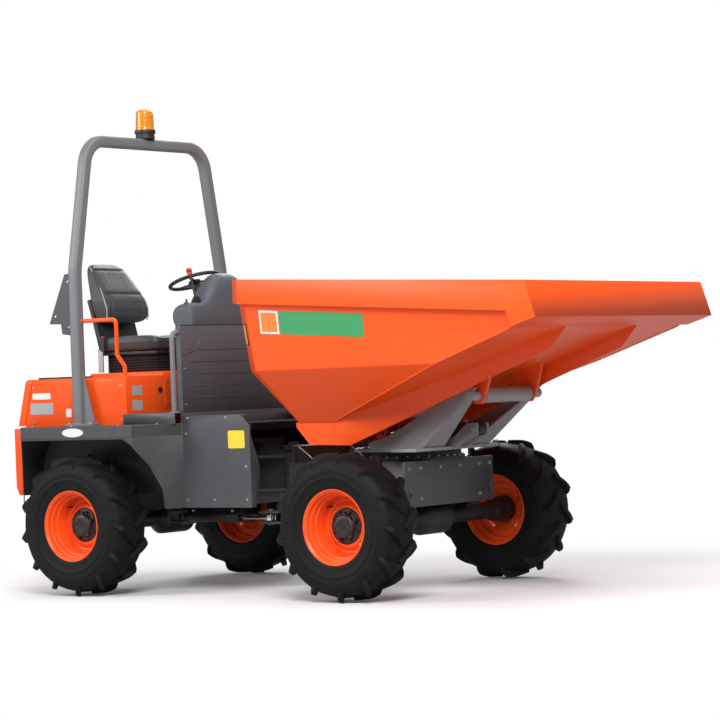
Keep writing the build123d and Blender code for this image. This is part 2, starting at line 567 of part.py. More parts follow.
# rear hatch: a shallow lid that is the whole rear face, hinged along its top front edge
HATCH_LOW_Z = HOUSING_LOW_Z + HATCH_GAP
with BuildPart() as hatch_void:
    add(slab(SHEET - BODY_HALF_W, BODY_HALF_W - SHEET, (BODY_REAR_X + SHEET + 1, HATCH_LOW_Z - 10),
             (SHUT_TOP_X + 60, HATCH_LOW_Z - 10), (SHUT_TOP_X + 60, BODY_Z - SHEET),
             (BODY_REAR_X + HATCH_LEAN + SHEET, BODY_Z - SHEET)))
    fillet(hatch_void.edges().filter_by(Axis.X).group_by(Axis.Z)[-1], ROOF_R - SHEET)
with BuildPart() as hatch:
    add(slab(-BODY_HALF_W, BODY_HALF_W, (SHUT_TOP_X - HATCH_GAP, BODY_Z), (BODY_REAR_X + HATCH_LEAN, BODY_Z),
             (BODY_REAR_X + 2, HATCH_LOW_Z), (SHUT_FOOT_X + 2 - HATCH_GAP, HATCH_LOW_Z)))
    fillet(hatch.edges().filter_by(Axis.X).group_by(Axis.Z)[-1], ROOF_R)
    add(hatch_void.part, mode=Mode.SUBTRACT)
    # middle knuckles and leaves of the hinges
    for hinge_y in HATCH_HINGES:
        with Locations((SHUT_TOP_X, hinge_y, BODY_Z)):
            Cylinder(KNUCKLE_PIN_R + 3, 68, rotation=(90, 0, 0), mode=Mode.SUBTRACT)
            Cylinder(KNUCKLE_PIN_R, 20, rotation=(90, 0, 0))
            with Locations((-22, 0, 1)):
                Box(44, 20, 6)
save(hatch, "hatch")

# ---------------------------------------------------------------- side panels and fenders
ARCH = [  # outline of the wheel arch, x from the pivot and z
    (-1505, 480), (-1500, 720), (-1470, 850), (-1400, 938), (-560, 938), (-483, 897), (-435, 774), (-402, 628), (-396, 480)]
LINER_Y, LINER_T = 604, 8
SKIRT_REAR = [(-1570, 712), (-1375, FENDER_HALF_W)]        # chamfered rear corner, x from the pivot
SKIRT_WAIST = [(-480, FENDER_HALF_W), (-345, PANEL_HALF_W)]
SKIRT_FRONT = [(165, PANEL_HALF_W)]
FLANGE = [  # front flange of the panel, y and z: wide at half height, narrow where the skip's toe passes
    (PANEL_HALF_W, PANEL_LOW_Z), (PANEL_HALF_W - 45, PANEL_LOW_Z), (PANEL_HALF_W - 92, 745), (PANEL_HALF_W - 13, 940),
    (PANEL_HALF_W - 13, PANEL_Z), (PANEL_HALF_W, PANEL_Z)]
DECK = [(-345, 380), (-345, PANEL_HALF_W), (150, PANEL_HALF_W), (120, PANEL_HALF_W - 30), (-70, 470), (-70, 380)]
FENDER = [(-1545, 620)] + SKIRT_REAR + SKIRT_WAIST + [(-345, 620)]
with BuildPart() as side_panel:
    with BuildSketch(Plane.XY.offset(PANEL_LOW_Z)):
        with BuildLine():
            Polyline(*[(PIVOT_X + x, y - SHEET / 2) for x, y in SKIRT_REAR + SKIRT_WAIST + SKIRT_FRONT])
        trace(line_width=SHEET)
    extrude(amount=PANEL_Z - PANEL_LOW_Z)
    with Locations((PIVOT_X - 1000, 700, FENDER_Z + 50)):
        Box(1316, 600, 100, mode=Mode.SUBTRACT)
    add(sheet(PANEL_Z - SHEET, PANEL_Z, *[(PIVOT_X + x, y) for x, y in DECK]))
    add(sheet(FENDER_Z - SHEET, FENDER_Z, *[(PIVOT_X + x, y) for x, y in FENDER]))
    extrude(outline(Plane.YZ.offset(PIVOT_X + 165 - SHEET), *FLANGE), amount=SHEET)
    add(slab(450, 1150, *[(PIVOT_X + x, z) for x, z in ARCH]), mode=Mode.SUBTRACT)
    # front top corner cut so the skip's toe swings past
    with Locations((PIVOT_X + 165, 600, PANEL_Z)):
        Box(90, 200, 90, rotation=(0, 45, 0), mode=Mode.SUBTRACT)
save(side_panel, "side_panel_left")
with BuildPart() as side_panel_right:
    add(mirror(side_panel.part, about=Plane.XZ, mode=Mode.PRIVATE))
save(side_panel_right, "side_panel_right")

liner_plan = [(PIVOT_X + x, y) for x, y in [(-1545, LINER_Y), (-1545, 732), (-1373, FENDER_HALF_W - 12),
                                            (-487, FENDER_HALF_W - 12), (-363, 640), (-363, LINER_Y)]]
with BuildPart() as arch_liners:
    # a moulded band that follows the arch, closed by a wall on its inner side
    with BuildSketch(Plane.XZ.offset(-LINER_Y)):
        with BuildLine():
            Polyline(*[(PIVOT_X + x, z) for x, z in ARCH], close=True)
        make_face()
        offset(amount=LINER_T, kind=Kind.INTERSECTION)
    extrude(amount=-FENDER_HALF_W + LINER_Y)
    add(slab(LINER_Y + LINER_T, FENDER_HALF_W + 1, *[(PIVOT_X + x, z) for x, z in ARCH]), mode=Mode.SUBTRACT)
    add(sheet(600, FENDER_Z, *liner_plan), mode=Mode.INTERSECT)
    for hanger_x in (REAR_AXLE_X - 230, REAR_AXLE_X + 120):
        with Locations((hanger_x, 760, (FENDER_Z - SHEET + 940) / 2)):
            Box(30, 80, FENDER_Z - SHEET - 940)
    mirror(about=Plane.XZ)
save(arch_liners, "arch_liners")

# cast rear guard with a socket for a screw-in towing eye
GUARD_HALF_W = 700
TOW_R, TOW_DEPTH, TOW_Z = 20, 80, 790
with BuildPart() as rear_guard:
    back_x = PIVOT_X - REAR_REACH
    add(slab(-GUARD_HALF_W, GUARD_HALF_W, (back_x, 1008), (back_x, 730), (back_x + 62, 598), (REAR_FRAME_X, 598),
             (REAR_FRAME_X, 1008)))
    add(sheet(500, 1100, (REAR_FRAME_X, -GUARD_HALF_W), (back_x + 40, -GUARD_HALF_W), (back_x, 40 - GUARD_HALF_W),
              (back_x, GUARD_HALF_W - 40), (back_x + 40, GUARD_HALF_W), (REAR_FRAME_X, GUARD_HALF_W)),
        mode=Mode.INTERSECT)
    with BuildSketch(Plane.YZ.offset(back_x)):
        with Locations((0, TOW_Z)):
            Circle(TOW_R)
    extrude(amount=TOW_DEPTH, mode=Mode.SUBTRACT)
save(rear_guard, "rear_guard")

# ---------------------------------------------------------------- footwell, cowl and dash
FLOOR_HALF_W = 690
floor_mid_x = (BOX_FRONT_X + BULKHEAD_X) / 2
with BuildPart() as footwell_floor:
    with Locations((floor_mid_x, 0, FLOOR_Z - 4)):
        Box(BULKHEAD_X - BOX_FRONT_X, 2 * FLOOR_HALF_W, 8)
    for side in (1, -1):
        with Locations((floor_mid_x + 10, side * (FLOOR_HALF_W - 3), (FLOOR_Z + FENDER_Z) / 2)):
            Box(BULKHEAD_X - BOX_FRONT_X + 20, 6, FLOOR_Z - FENDER_Z)
    # bulkhead under the cowl, and the cover plate over the articulation joint
    with Locations((BULKHEAD_X + 6, 0, (BEARER_LOW_Z + FLOOR_Z) / 2)):
        Box(12, 2 * PANEL_HALF_W - 20, FLOOR_Z - BEARER_LOW_Z)
    with Locations((BULKHEAD_X + 145, 0, 1003)):
        Box(290, 740, 6)
save(footwell_floor, "footwell_floor")

COWL_HALF_W = 590
COWL_TOP_Z = 1600
COWL_REAR_X = BULKHEAD_X - 40
with BuildPart() as cowl:
    with Locations((BULKHEAD_X - 20, 0, (FLOOR_Z + COWL_TOP_Z) / 2)):
        Box(40, 2 * COWL_HALF_W, COWL_TOP_Z - FLOOR_Z)
save(cowl, "cowl")

WHEEL_HUB = Vector(PIVOT_X - 731, 0, 1888)
COLUMN_LEAN = 17
column = Plane(origin=WHEEL_HUB, x_dir=(cos(radians(COLUMN_LEAN)), 0, sin(radians(COLUMN_LEAN))),
               z_dir=(-sin(radians(COLUMN_LEAN)), 0, cos(radians(COLUMN_LEAN))))
SHOULDER_Z = 1738
HUMP = [  # height, rear, front, half width, corner radius; x from the pivot
    (SHOULDER_Z - 40, -670, -400, 340, 50),
    (SHOULDER_Z + 10, -672, -402, 262, 50),
    (1795, -655, -412, 214, 46),
    (1870, -608, -440, 184, 38),
    (1930, -548, -486, 160, 22),
]
hump_faces = []
for level, rear, front, half, corner_r in HUMP:
    with BuildSketch(Plane.XY.offset(level)) as hump_face:
        with Locations((PIVOT_X + (rear + front) / 2, 0)):
            RectangleRounded(front - rear, 2 * half, corner_r)
    hump_faces.append(hump_face.sketch)
with BuildPart() as dash_console:
    # low shoulders across the cowl, with a kneeling back and rounded ends
    add(slab(-450, 450, (COWL_REAR_X, 1420), (COWL_REAR_X, COWL_TOP_Z), (BULKHEAD_X - 1, COWL_TOP_Z),
             (BULKHEAD_X - 30, SHOULDER_Z), (PIVOT_X - 520, SHOULDER_Z), (PIVOT_X - 566, 1680), (PIVOT_X - 556, 1620),
             (PIVOT_X - 500, 1560)))
    add(sheet(1400, 1800, (BULKHEAD_X, -380), (BULKHEAD_X - 70, -450), (PIVOT_X - 500, -450), (PIVOT_X - 566, -390),
              (PIVOT_X - 566, 390), (PIVOT_X - 500, 450), (BULKHEAD_X - 70, 450), (BULKHEAD_X, 380)),
        mode=Mode.INTERSECT)
    # raised middle that flares out into the shoulders and carries the steering column
    loft(sections=hump_faces, ruled=True)
    with BuildSketch(column.offset(-24)):
        Circle(22)
    extrude(amount=-200)
save(dash_console, "dash_console")

# ---------------------------------------------------------------- steering wheel and controls
with BuildPart() as steering_wheel:
    with BuildSketch(column * Plane.XZ):
        with Locations((155, 0)):
            Circle(12)
    revolve(axis=Axis(column.origin, column.z_dir))
    with BuildSketch(column.offset(-22)):
        Circle(38)
    extrude(amount=26)
    for turn in (30, 150, 270):
        spoke = column * Rot(0, 0, turn)
        with BuildSketch(Plane(spoke).offset(-12)):
            with Locations((90, 0)):
                Rectangle(136, 22)
        extrude(amount=8)
save(steering_wheel, "steering_wheel")

LEVER_FOOT = (PIVOT_X - 470, -300)
LEVER_TOP = (PIVOT_X - 602, -200, 1938)
with BuildPart() as controls:
    with Locations((*LEVER_FOOT, SHOULDER_Z + 10)):
        Cylinder(16, 20)
    add(rod_between((*LEVER_FOOT, SHOULDER_Z + 10), LEVER_TOP, 7))
    with Locations(Plane(origin=LEVER_TOP, z_dir=Vector(*LEVER_TOP) - Vector(*LEVER_FOOT, SHOULDER_Z))):
        Cylinder(16, 26)
    # pedals on the back of the cowl
    for pedal_y in (-190, 110):
        add(slab(pedal_y, pedal_y + 80, (COWL_REAR_X, 1200), (COWL_REAR_X, 1188), (COWL_REAR_X - 60, 1130),
                 (COWL_REAR_X - 90, 1205), (COWL_REAR_X - 82, 1208), (COWL_REAR_X - 55, 1146)))
save(controls, "controls")

# ---------------------------------------------------------------- roll-over hoop, lamps
leg_x, lean = HOOP_HALF_W, radians(HOOP_LEAN)
top_z = HOOP_TOP_Z - HOOP_TUBE / 2
top_half = leg_x - (top_z - HOOP_KNEE_Z) * tan(lean)
with BuildPart() as rops_hoop:
    with BuildLine() as run:
        FilletPolyline((HOOP_X, -leg_x, FENDER_Z + 14), (HOOP_X, -leg_x, HOOP_KNEE_Z), (HOOP_X, -top_half, top_z),
                       (HOOP_X, top_half, top_z), (HOOP_X, leg_x, HOOP_KNEE_Z), (HOOP_X, leg_x, FENDER_Z + 14),
                       radius=[400, 170, 170, 400])
    with BuildSketch(Plane(origin=run.line @ 0, x_dir=(1, 0, 0), z_dir=run.line % 0)):
        RectangleRounded(HOOP_TUBE, HOOP_TUBE, 20)
    sweep()
    for side in (1, -1):
        with Locations((HOOP_X + 20, side * leg_x, FENDER_Z + 7)):
            Box(220, 80, 14)
        # foot gusset, then the lamp bracket behind the leg
        add(slab(side * leg_x - 5, side * leg_x + 5, (HOOP_X + 30, FENDER_Z + 12), (HOOP_X + 118, FENDER_Z + 12),
                 (HOOP_X + 34, FENDER_Z + 330)))
        add(slab(side * leg_x - 3, side * leg_x + 3, (HOOP_X - 30, 1950), (HOOP_X - 86, 1946), (HOOP_X - 222, 1646),
                 (HOOP_X - 128, 1642), (HOOP_X - 118, 1580), (HOOP_X - 30, 1568)))
save(rops_hoop, "rops_hoop")

with BuildPart() as beacon_base:
    with BuildSketch(Plane.XY.offset(HOOP_TOP_Z)):
        with Locations((HOOP_X, 0)):
            Circle(62)
    extrude(amount=34, taper=6)
    with BuildSketch(Plane.XY.offset(HOOP_TOP_Z + 34)):
        with Locations((HOOP_X, 0)):
            Circle(66)
    extrude(amount=22)
save(beacon_base, "beacon_base")
with BuildPart() as beacon_lens:
    with BuildSketch(Plane.XY.offset(HOOP_TOP_Z + 56)):
        with Locations((HOOP_X, 0)):
            Circle(60)
    extrude(amount=130, taper=5)
    fillet(beacon_lens.faces().sort_by(Axis.Z)[-1].edges(), 18)
save(beacon_lens, "beacon_lens")

# ---------------------------------------------------------------- seat
SEAT_X = PIVOT_X - 1110
SHELL = [  # from the side, its front face just behind the backrest
    (-1352, SEAT_Z + 110), (-1352, 1500), (-1393, 1652), (-1441, 1806), (-1466, 1799), (-1423, 1652), (-1382, 1500),
    (-1382, SEAT_Z + 110)]
BACK_SIDE = [  # the backrest from the side, x from the pivot
    (-1392, 1652), (-1298, 1652), (-1268, 1690), (-1272, 1745), (-1330, 1860), (-1440, 2006), (-1462, 2030), (-1508, 2024)]
BACK_FRONT = [(-206, 1640), (206, 1640), (206, 1790), (150, 2040), (-150, 2040), (-206, 1790)]   # y and z
with BuildPart() as seat_base:
    with Locations((SEAT_X + 10, 0, SEAT_Z + 55)):
        Box(400, 380, 110)
    with Locations((SEAT_X, 0, SEAT_Z + 120)):
        Box(470, 440, 20)
    # shell that carries the backrest, on a foot behind the cushion
    add(slab(-185, 185, *[(PIVOT_X + x, z) for x, z in SHELL]))
    add(slab(-185, 185, (SEAT_X - 200, SEAT_Z + 110), (PIVOT_X - 1382, SEAT_Z + 110), (PIVOT_X - 1382, SEAT_Z + 128),
             (SEAT_X - 200, SEAT_Z + 128)))
save(seat_base, "seat_base")
with BuildPart() as seat_cushion:
    with Locations((SEAT_X + 12, 0, SEAT_Z + 185)):
        Box(490, 480, 110)
    fillet(seat_cushion.edges().filter_by(Axis.Z), 60)
    fillet(seat_cushion.faces().sort_by(Axis.Z)[-1].edges(), 34)
save(seat_cushion, "seat_cushion")
with BuildPart() as seat_back:
    add(slab(-240, 240, *[(PIVOT_X + x, z) for x, z in BACK_SIDE]))
    with BuildSketch(Plane.YZ.offset(PIVOT_X - 1600)):
        with BuildLine():
            Polyline(*BACK_FRONT, close=True)
        make_face()
        fillet(vertices(), 46)
    extrude(amount=400, mode=Mode.INTERSECT)
save(seat_back, "seat_back")

# ---------------------------------------------------------------- rails
with BuildPart() as grab_rails:
    add(tube([(HOOP_X + HOOP_TUBE / 2, 684, 1655), (PIVOT_X - 960, 684, 1655), (PIVOT_X - 792, 675, 1655),
              (PIVOT_X - 825, 640, 1440), (PIVOT_X - 790, 612, 1370), (PIVOT_X - 790, 612, BODY_Z)], 13, 28))
    mirror(about=Plane.XZ)
save(grab_rails, "grab_rails")
with BuildPart() as handrails:
    add(tube([(BULKHEAD_X - 22, 640, FLOOR_Z), (BULKHEAD_X - 22, 640, 1560), (BULKHEAD_X - 22, COWL_HALF_W, 1560)],
             16, 40))
    mirror(about=Plane.XZ)
save(handrails, "handrails")
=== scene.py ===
import json
from math import atan2, cos, exp, hypot, pi, radians, sin, sqrt, tan

import bmesh
import bpy
from mathutils import Euler, Matrix, Vector


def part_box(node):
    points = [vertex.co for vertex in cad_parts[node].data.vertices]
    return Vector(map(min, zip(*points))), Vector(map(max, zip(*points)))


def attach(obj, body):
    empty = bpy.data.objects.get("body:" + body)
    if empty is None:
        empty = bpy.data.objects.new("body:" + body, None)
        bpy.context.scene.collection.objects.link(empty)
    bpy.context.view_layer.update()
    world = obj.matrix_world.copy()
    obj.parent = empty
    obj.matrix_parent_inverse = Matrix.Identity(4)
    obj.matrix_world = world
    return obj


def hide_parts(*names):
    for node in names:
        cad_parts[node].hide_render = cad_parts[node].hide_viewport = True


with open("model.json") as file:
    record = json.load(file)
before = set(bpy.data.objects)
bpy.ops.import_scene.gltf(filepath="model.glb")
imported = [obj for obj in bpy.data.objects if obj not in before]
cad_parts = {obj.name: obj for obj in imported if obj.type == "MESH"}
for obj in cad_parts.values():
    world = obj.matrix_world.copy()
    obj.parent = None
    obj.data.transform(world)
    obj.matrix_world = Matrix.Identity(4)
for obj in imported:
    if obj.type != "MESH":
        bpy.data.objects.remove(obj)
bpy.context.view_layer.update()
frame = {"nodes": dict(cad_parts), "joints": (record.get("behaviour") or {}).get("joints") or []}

# ---------------------------------------------------------------- where the machine stands
# Stations along the machine are measured from the articulation pivot, those of
# the skip from the turntable, and every joint gives its own place and axis.
joints = {joint["name"]: joint for joint in frame["joints"]}
PIVOT_X = joints["articulation"]["pos_m"][0]
SWIVEL_X = joints["skip_swivel"]["pos_m"][0]
WHEELS = [name.removeprefix("spin_") for name in joints if name.startswith("spin_")]

# ---------------------------------------------------------------- camera, light and floor
# A long lens from the right front at the height of the wheel arches, with soft
# studio panels above and beside the machine and a pale floor under it.
camera = bpy.data.objects.new("camera", bpy.data.cameras.new("camera"))
bpy.context.scene.collection.objects.link(camera)
camera.location = (9.905 + PIVOT_X, -12.73, 1.259)
LOOK_RISE, LOOK_TURN, LOOK_ROLL = 0.006, 0.635, -0.037
look = Euler((pi / 2 + LOOK_RISE, 0, LOOK_TURN)).to_matrix() @ Matrix.Rotation(LOOK_ROLL, 3, "Z")
camera.rotation_euler = look.to_euler()
camera.data.lens = 133.1
camera.data.clip_end = 200
bpy.context.scene.camera = camera
bpy.context.scene.view_settings.view_transform = "Standard"



def add_nodes(tree, *kinds):
    """New shader nodes of the named kinds, in turn."""
    return [tree.nodes.new(f"ShaderNode{kind}") for kind in kinds]


def wire(tree, *pairs):
    """Links output sockets to input sockets, given in pairs."""
    for source, target in pairs:
        tree.links.new(source, target)


world = bpy.data.worlds.new("studio")
bpy.context.scene.world = world
world.use_nodes = True
backdrop = world.node_tree.nodes["Background"]
rays, white_ray, level = add_nodes(world.node_tree, "LightPath", "Math", "MapRange")
white_ray.operation = "MAXIMUM"
level.inputs["To Min"].default_value = 0.34
backdrop.inputs["Color"].default_value = (1, 1, 1, 1)
wire(world.node_tree,
     (rays.outputs["Is Camera Ray"], white_ray.inputs[0]),
     (rays.outputs["Is Transmission Ray"], white_ray.inputs[1]),
     (white_ray.outputs[0], level.inputs["Value"]),
     (level.outputs["Result"], backdrop.inputs["Strength"]))

LAMPS = [  # name, place, aimed at, size, power
    ("key_panel", (4.5, -6.5, 6.5), (0.4, 0, 1.0), 4.0, 820),
    ("side_panel", (-6.0, -6.5, 4.5), (-0.6, 0, 1.0), 3.5, 350),
    ("back_panel", (-4.0, 6.5, 5.5), (0, 0, 1.2), 3.5, 320),
    ("top_panel", (0.5, 0.5, 8.0), (0, 0, 0.5), 5.0, 210),
]
for name, place, target, size, power in LAMPS:
    lamp = bpy.data.objects.new(name, bpy.data.lights.new(name, "AREA"))
    bpy.context.scene.collection.objects.link(lamp)
    lamp.location = place
    lamp.rotation_euler = (Vector(target) - Vector(place)).to_track_quat("-Z", "Y").to_euler()
    lamp.data.size, lamp.data.energy = size, power


def new_object(name, mesh):
    """Links a mesh to the scene as an object that stands at the machine's origin."""
    piece = bpy.data.objects.new(name, mesh)
    bpy.context.scene.collection.objects.link(piece)
    return piece


def mesh_from(name, points, faces):
    """A new object from corner points and faces, with its normals turned outward."""
    mesh = bpy.data.meshes.new(name)
    mesh.from_pydata([tuple(point) for point in points], [], faces)
    shape = bmesh.new()
    shape.from_mesh(mesh)
    bmesh.ops.recalc_face_normals(shape, faces=shape.faces)
    shape.to_mesh(mesh)
    shape.free()
    return new_object(name, mesh)


def new_material(name, roughness, **sockets):
    """A Principled material; returns it with its node tree and shader."""
    material = bpy.data.materials.new(name)
    material.use_nodes = True
    shader = material.node_tree.nodes["Principled BSDF"]
    shader.inputs["Roughness"].default_value = roughness
    for socket, value in sockets.items():
        shader.inputs[socket.replace("_", " ")].default_value = value
    return material, material.node_tree, shader


FLOOR_HALF = 60
RECTANGLE = ((-1, -1), (1, -1), (1, 1), (-1, 1))   # corners in turn, in half widths
floor = mesh_from("floor", [(FLOOR_HALF * u, FLOOR_HALF * v, 0) for u, v in RECTANGLE], [(0, 1, 2, 3)])
floor_finish, tree, shader = new_material("pale_floor", 0.9)
white, rays, blend, fade, reach, spot, gate, bounce = add_nodes(
    tree, "Emission", "LightPath", "MixShader", "MapRange", "VectorMath", "TexCoord", "Math", "Mix")
fade.interpolation_type, reach.operation, gate.operation = "SMOOTHSTEP", "LENGTH", "MULTIPLY"
bounce.data_type = "RGBA"
bounce.inputs["A"].default_value = (0.48, 0.48, 0.50, 1)     # what the floor throws back at the machine
bounce.inputs["B"].default_value = (0.84, 0.84, 0.86, 1)
for socket, value in (("From Min", 2.1), ("From Max", 4.0), ("To Min", 0.04)):
    fade.inputs[socket].default_value = value
wire(tree,
     (rays.outputs["Is Camera Ray"], bounce.inputs["Factor"]),
     (bounce.outputs["Result"], shader.inputs["Base Color"]),
     (spot.outputs["Object"], reach.inputs[0]), (reach.outputs["Value"], fade.inputs["Value"]),
     (fade.outputs["Result"], gate.inputs[0]), (rays.outputs["Is Camera Ray"], gate.inputs[1]),
     (gate.outputs[0], blend.inputs["Fac"]), (shader.outputs[0], blend.inputs[1]),
     (white.outputs[0], blend.inputs[2]),
     (blend.outputs[0], tree.nodes["Material Output"].inputs["Surface"]))
floor.data.materials.append(floor_finish)

# ---------------------------------------------------------------- chassis and axles
# Two box frames welded from thick plate and sprayed dark grey, with cast black
# axle beams bolted under them. Road dust lies low down and in soft patches.
def new_group(name, inputs, output):
    """A shader node group with number sockets; returns it with its input and output nodes."""
    group = bpy.data.node_groups.new(name, "ShaderNodeTree")
    for socket, value in inputs:
        group.interface.new_socket(socket, in_out="INPUT",
                                   socket_type="NodeSocketFloat").default_value = value
    group.interface.new_socket(output, in_out="OUTPUT", socket_type="NodeSocketFloat")
    return group, group.nodes.new("NodeGroupInput"), group.nodes.new("NodeGroupOutput")


dust, asked, given = new_group("dust", (("Amount", 0.3), ("Patch Size", 6.0)), "Mask")
where, patches, height, low_down, spread, by_height, by_amount = add_nodes(
    dust, "TexCoord", "TexNoise", "SeparateXYZ", "MapRange", "MapRange", "Math", "Math")
patches.inputs["Detail"].default_value = 6
patches.inputs["Roughness"].default_value = 0.65
for socket, value in (("From Min", 1.5), ("From Max", 0.1), ("To Min", 0.2), ("To Max", 1.0)):
    low_down.inputs[socket].default_value = value
spread.interpolation_type = "SMOOTHSTEP"
spread.inputs["From Min"].default_value, spread.inputs["From Max"].default_value = 0.42, 0.72
by_height.operation = by_amount.operation = "MULTIPLY"
wire(dust,
     (where.outputs["Object"], patches.inputs["Vector"]),
     (asked.outputs["Patch Size"], patches.inputs["Scale"]),
     (where.outputs["Object"], height.inputs[0]), (height.outputs["Z"], low_down.inputs["Value"]),
     (patches.outputs["Fac"], spread.inputs["Value"]), (spread.outputs["Result"], by_height.inputs[0]),
     (low_down.outputs["Result"], by_height.inputs[1]), (by_height.outputs[0], by_amount.inputs[0]),
     (asked.outputs["Amount"], by_amount.inputs[1]), (by_amount.outputs[0], given.inputs["Mask"]))

grain, asked, given = new_group("grain", (("Scale", 900.0),), "Height")
where, pebbles = add_nodes(grain, "TexCoord", "TexNoise")
pebbles.inputs["Detail"].default_value = 3
wire(grain,
     (where.outputs["Object"], pebbles.inputs["Vector"]),
     (asked.outputs["Scale"], pebbles.inputs["Scale"]),
     (pebbles.outputs["Fac"], given.inputs["Height"]))

# thin scratches: a noise stretched along one direction and cut to its peaks
scratches, asked, given = new_group("scratches", (("Scale", 12.0), ("Share", 0.5)), "Mask")
where, skew, lines, cut = add_nodes(scratches, "TexCoord", "Mapping", "TexNoise", "MapRange")
skew.inputs["Rotation"].default_value = (0.5, 0.35, 0.2)
skew.inputs["Scale"].default_value = (2.2, 36, 36)
lines.inputs["Detail"].default_value = 5
cut.inputs["From Min"].default_value = 0.63
cut.inputs["From Max"].default_value = 0.68
wire(scratches,
     (where.outputs["Object"], skew.inputs["Vector"]), (skew.outputs[0], lines.inputs["Vector"]),
     (asked.outputs["Scale"], lines.inputs["Scale"]), (lines.outputs["Fac"], cut.inputs["Value"]),
     (asked.outputs["Share"], cut.inputs["To Max"]), (cut.outputs["Result"], given.inputs["Mask"]))


def finish_of(name, slot, colour, dusty, roughness, dirt, grain_size, depth, worn=0.0, **sockets):
    """A finish with dust in patches, fine grain and thin scratches; it carries its slot's name."""
    material, tree, shader = new_material(name, roughness, **sockets)
    material["slot"] = slot
    dirt_mask, marks, texture, scuffed, tint, rough, bump = add_nodes(
        tree, "Group", "Group", "Group", "Mix", "Mix", "MapRange", "Bump")
    dirt_mask.node_tree, marks.node_tree, texture.node_tree = dust, scratches, grain
    dirt_mask.inputs["Amount"].default_value = dirt
    marks.inputs["Share"].default_value = worn
    texture.inputs["Scale"].default_value = grain_size
    scuffed.data_type = tint.data_type = "RGBA"
    scuffed.inputs["A"].default_value = (*colour, 1)
    scuffed.inputs["B"].default_value = (*(min(1, 0.12 + 1.2 * part) for part in colour), 1)
    tint.inputs["B"].default_value = (*dusty, 1)
    rough.inputs["To Min"].default_value = roughness
    rough.inputs["To Max"].default_value = min(1.0, roughness + 0.35)
    bump.inputs["Distance"].default_value = depth
    wire(tree,
         (marks.outputs["Mask"], scuffed.inputs["Factor"]), (scuffed.outputs["Result"], tint.inputs["A"]),
         (dirt_mask.outputs["Mask"], tint.inputs["Factor"]),
         (dirt_mask.outputs["Mask"], rough.inputs["Value"]),
         (tint.outputs["Result"], shader.inputs["Base Color"]),
         (rough.outputs["Result"], shader.inputs["Roughness"]),
         (texture.outputs["Height"], bump.inputs["Height"]),
         (bump.outputs["Normal"], shader.inputs["Normal"]))
    return material


def soften(piece, width, angle):
    """Smooth shading with sharp creases kept, and a small radius on every edge."""
    for polygon in piece.data.polygons:
        polygon.use_smooth = True
    piece.data.set_sharp_from_angle(angle=radians(angle))
    if width:
        edges = piece.modifiers.new("softened_edges", "BEVEL")
        edges.width, edges.segments, edges.limit_method = width, 2, "ANGLE"
        edges.angle_limit = radians(angle)
        edges.harden_normals = True


def coat_solid(node, finish, width, angle=32):
    """Gives a solid of the frame its finish and the small radius of its folded edges."""
    solid = frame["nodes"][node]
    solid.data.materials.clear()
    solid.data.materials.append(finish)
    weld = solid.modifiers.new("joined_corners", "WELD")
    weld.merge_threshold = 0.00001
    soften(solid, width, angle)


def dress(piece, finish, body, width=0.0, angle=35):
    """Gives a new piece its finish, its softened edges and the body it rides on."""
    piece.data.materials.clear()
    piece.data.materials.append(finish)
    if piece.type == "MESH":
        soften(piece, width, angle)
    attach(piece, body)
    return piece


def round_angles(count, start=0.0):
    """Evenly spaced angles round a circle; start is a share of one step."""
    return [2 * pi * (k + start) / count for k in range(count)]


BOLT_STEPS = [  # sides, radius, low and high end in washer radii: washer, head, end of the shank
    (20, 1.0, -0.1, 0.14), (6, 0.84, 0.14, 0.70), (12, 0.45, 0.70, 0.84)]


def hex_bolts(name, body, facing, spots, size, finish):
    """Hexagon bolt heads on round washers, all facing one way, as one piece."""
    shape = bmesh.new()
    turn = Vector(facing).to_track_quat("Z", "Y").to_matrix().to_4x4()
    for spot in spots:
        for sides, radius, low, high in BOLT_STEPS:
            place = Matrix.Translation(spot) @ turn @ Matrix.Translation((0, 0, (low + high) / 2 * size))
            bmesh.ops.create_cone(shape, cap_ends=True, segments=sides, radius1=radius * size,
                                  radius2=radius * size * 0.96, depth=(high - low) * size, matrix=place)
    mesh = bpy.data.meshes.new(name)
    shape.to_mesh(mesh)
    shape.free()
    return dress(new_object(name, mesh), finish, body, size * 0.06, 30)


dark_grey = finish_of("dark_grey_paint", "dark_grey_paint", (0.052, 0.054, 0.060), (0.12, 0.116, 0.108), 0.42,
                      0.26, 420, 0.0003, 0.25)
black_paint = finish_of("black_paint", "black_paint", (0.010, 0.010, 0.011), (0.065, 0.060, 0.052), 0.42,
                        0.32, 420, 0.0003, 0.2)
plated = finish_of("plated_steel", "chrome_rod", (0.50, 0.50, 0.52), (0.33, 0.31, 0.28), 0.32, 0.35, 500,
                   0.0002, Metallic=1.0)
for node in ("rear_chassis", "front_chassis"):
    coat_solid(node, dark_grey, 0.002)
for node in ("front_axle", "rear_axle"):
    coat_solid(node, black_paint, 0.0025)
coat_solid("engine", black_paint, 0.012)

plate_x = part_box("front_chassis")[1].x
hex_bolts("front_plate_bolts", "front", (1, 0, 0),
          [(plate_x, y, z) for y in (-0.30, 0.30) for z in (0.545, 0.72)]
          + [(plate_x, y, 0.72) for y in (-0.41, -0.10, 0.10, 0.41)], 0.012, plated)
COVER_INSET, COVER_CIRCLE = 0.0895, 0.082
for name, body in (("front_axle", "front"), ("rear_axle", "rear")):
    low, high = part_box(name)
    middle = (low + high) / 2
    hex_bolts(f"{name}_cover_bolts", body, (1 if body == "front" else -1, 0, 0),
              [(high.x - COVER_INSET if body == "front" else low.x + COVER_INSET, COVER_CIRCLE * cos(a),
                middle.z + COVER_CIRCLE * sin(a)) for a in round_angles(10)], 0.008, plated)

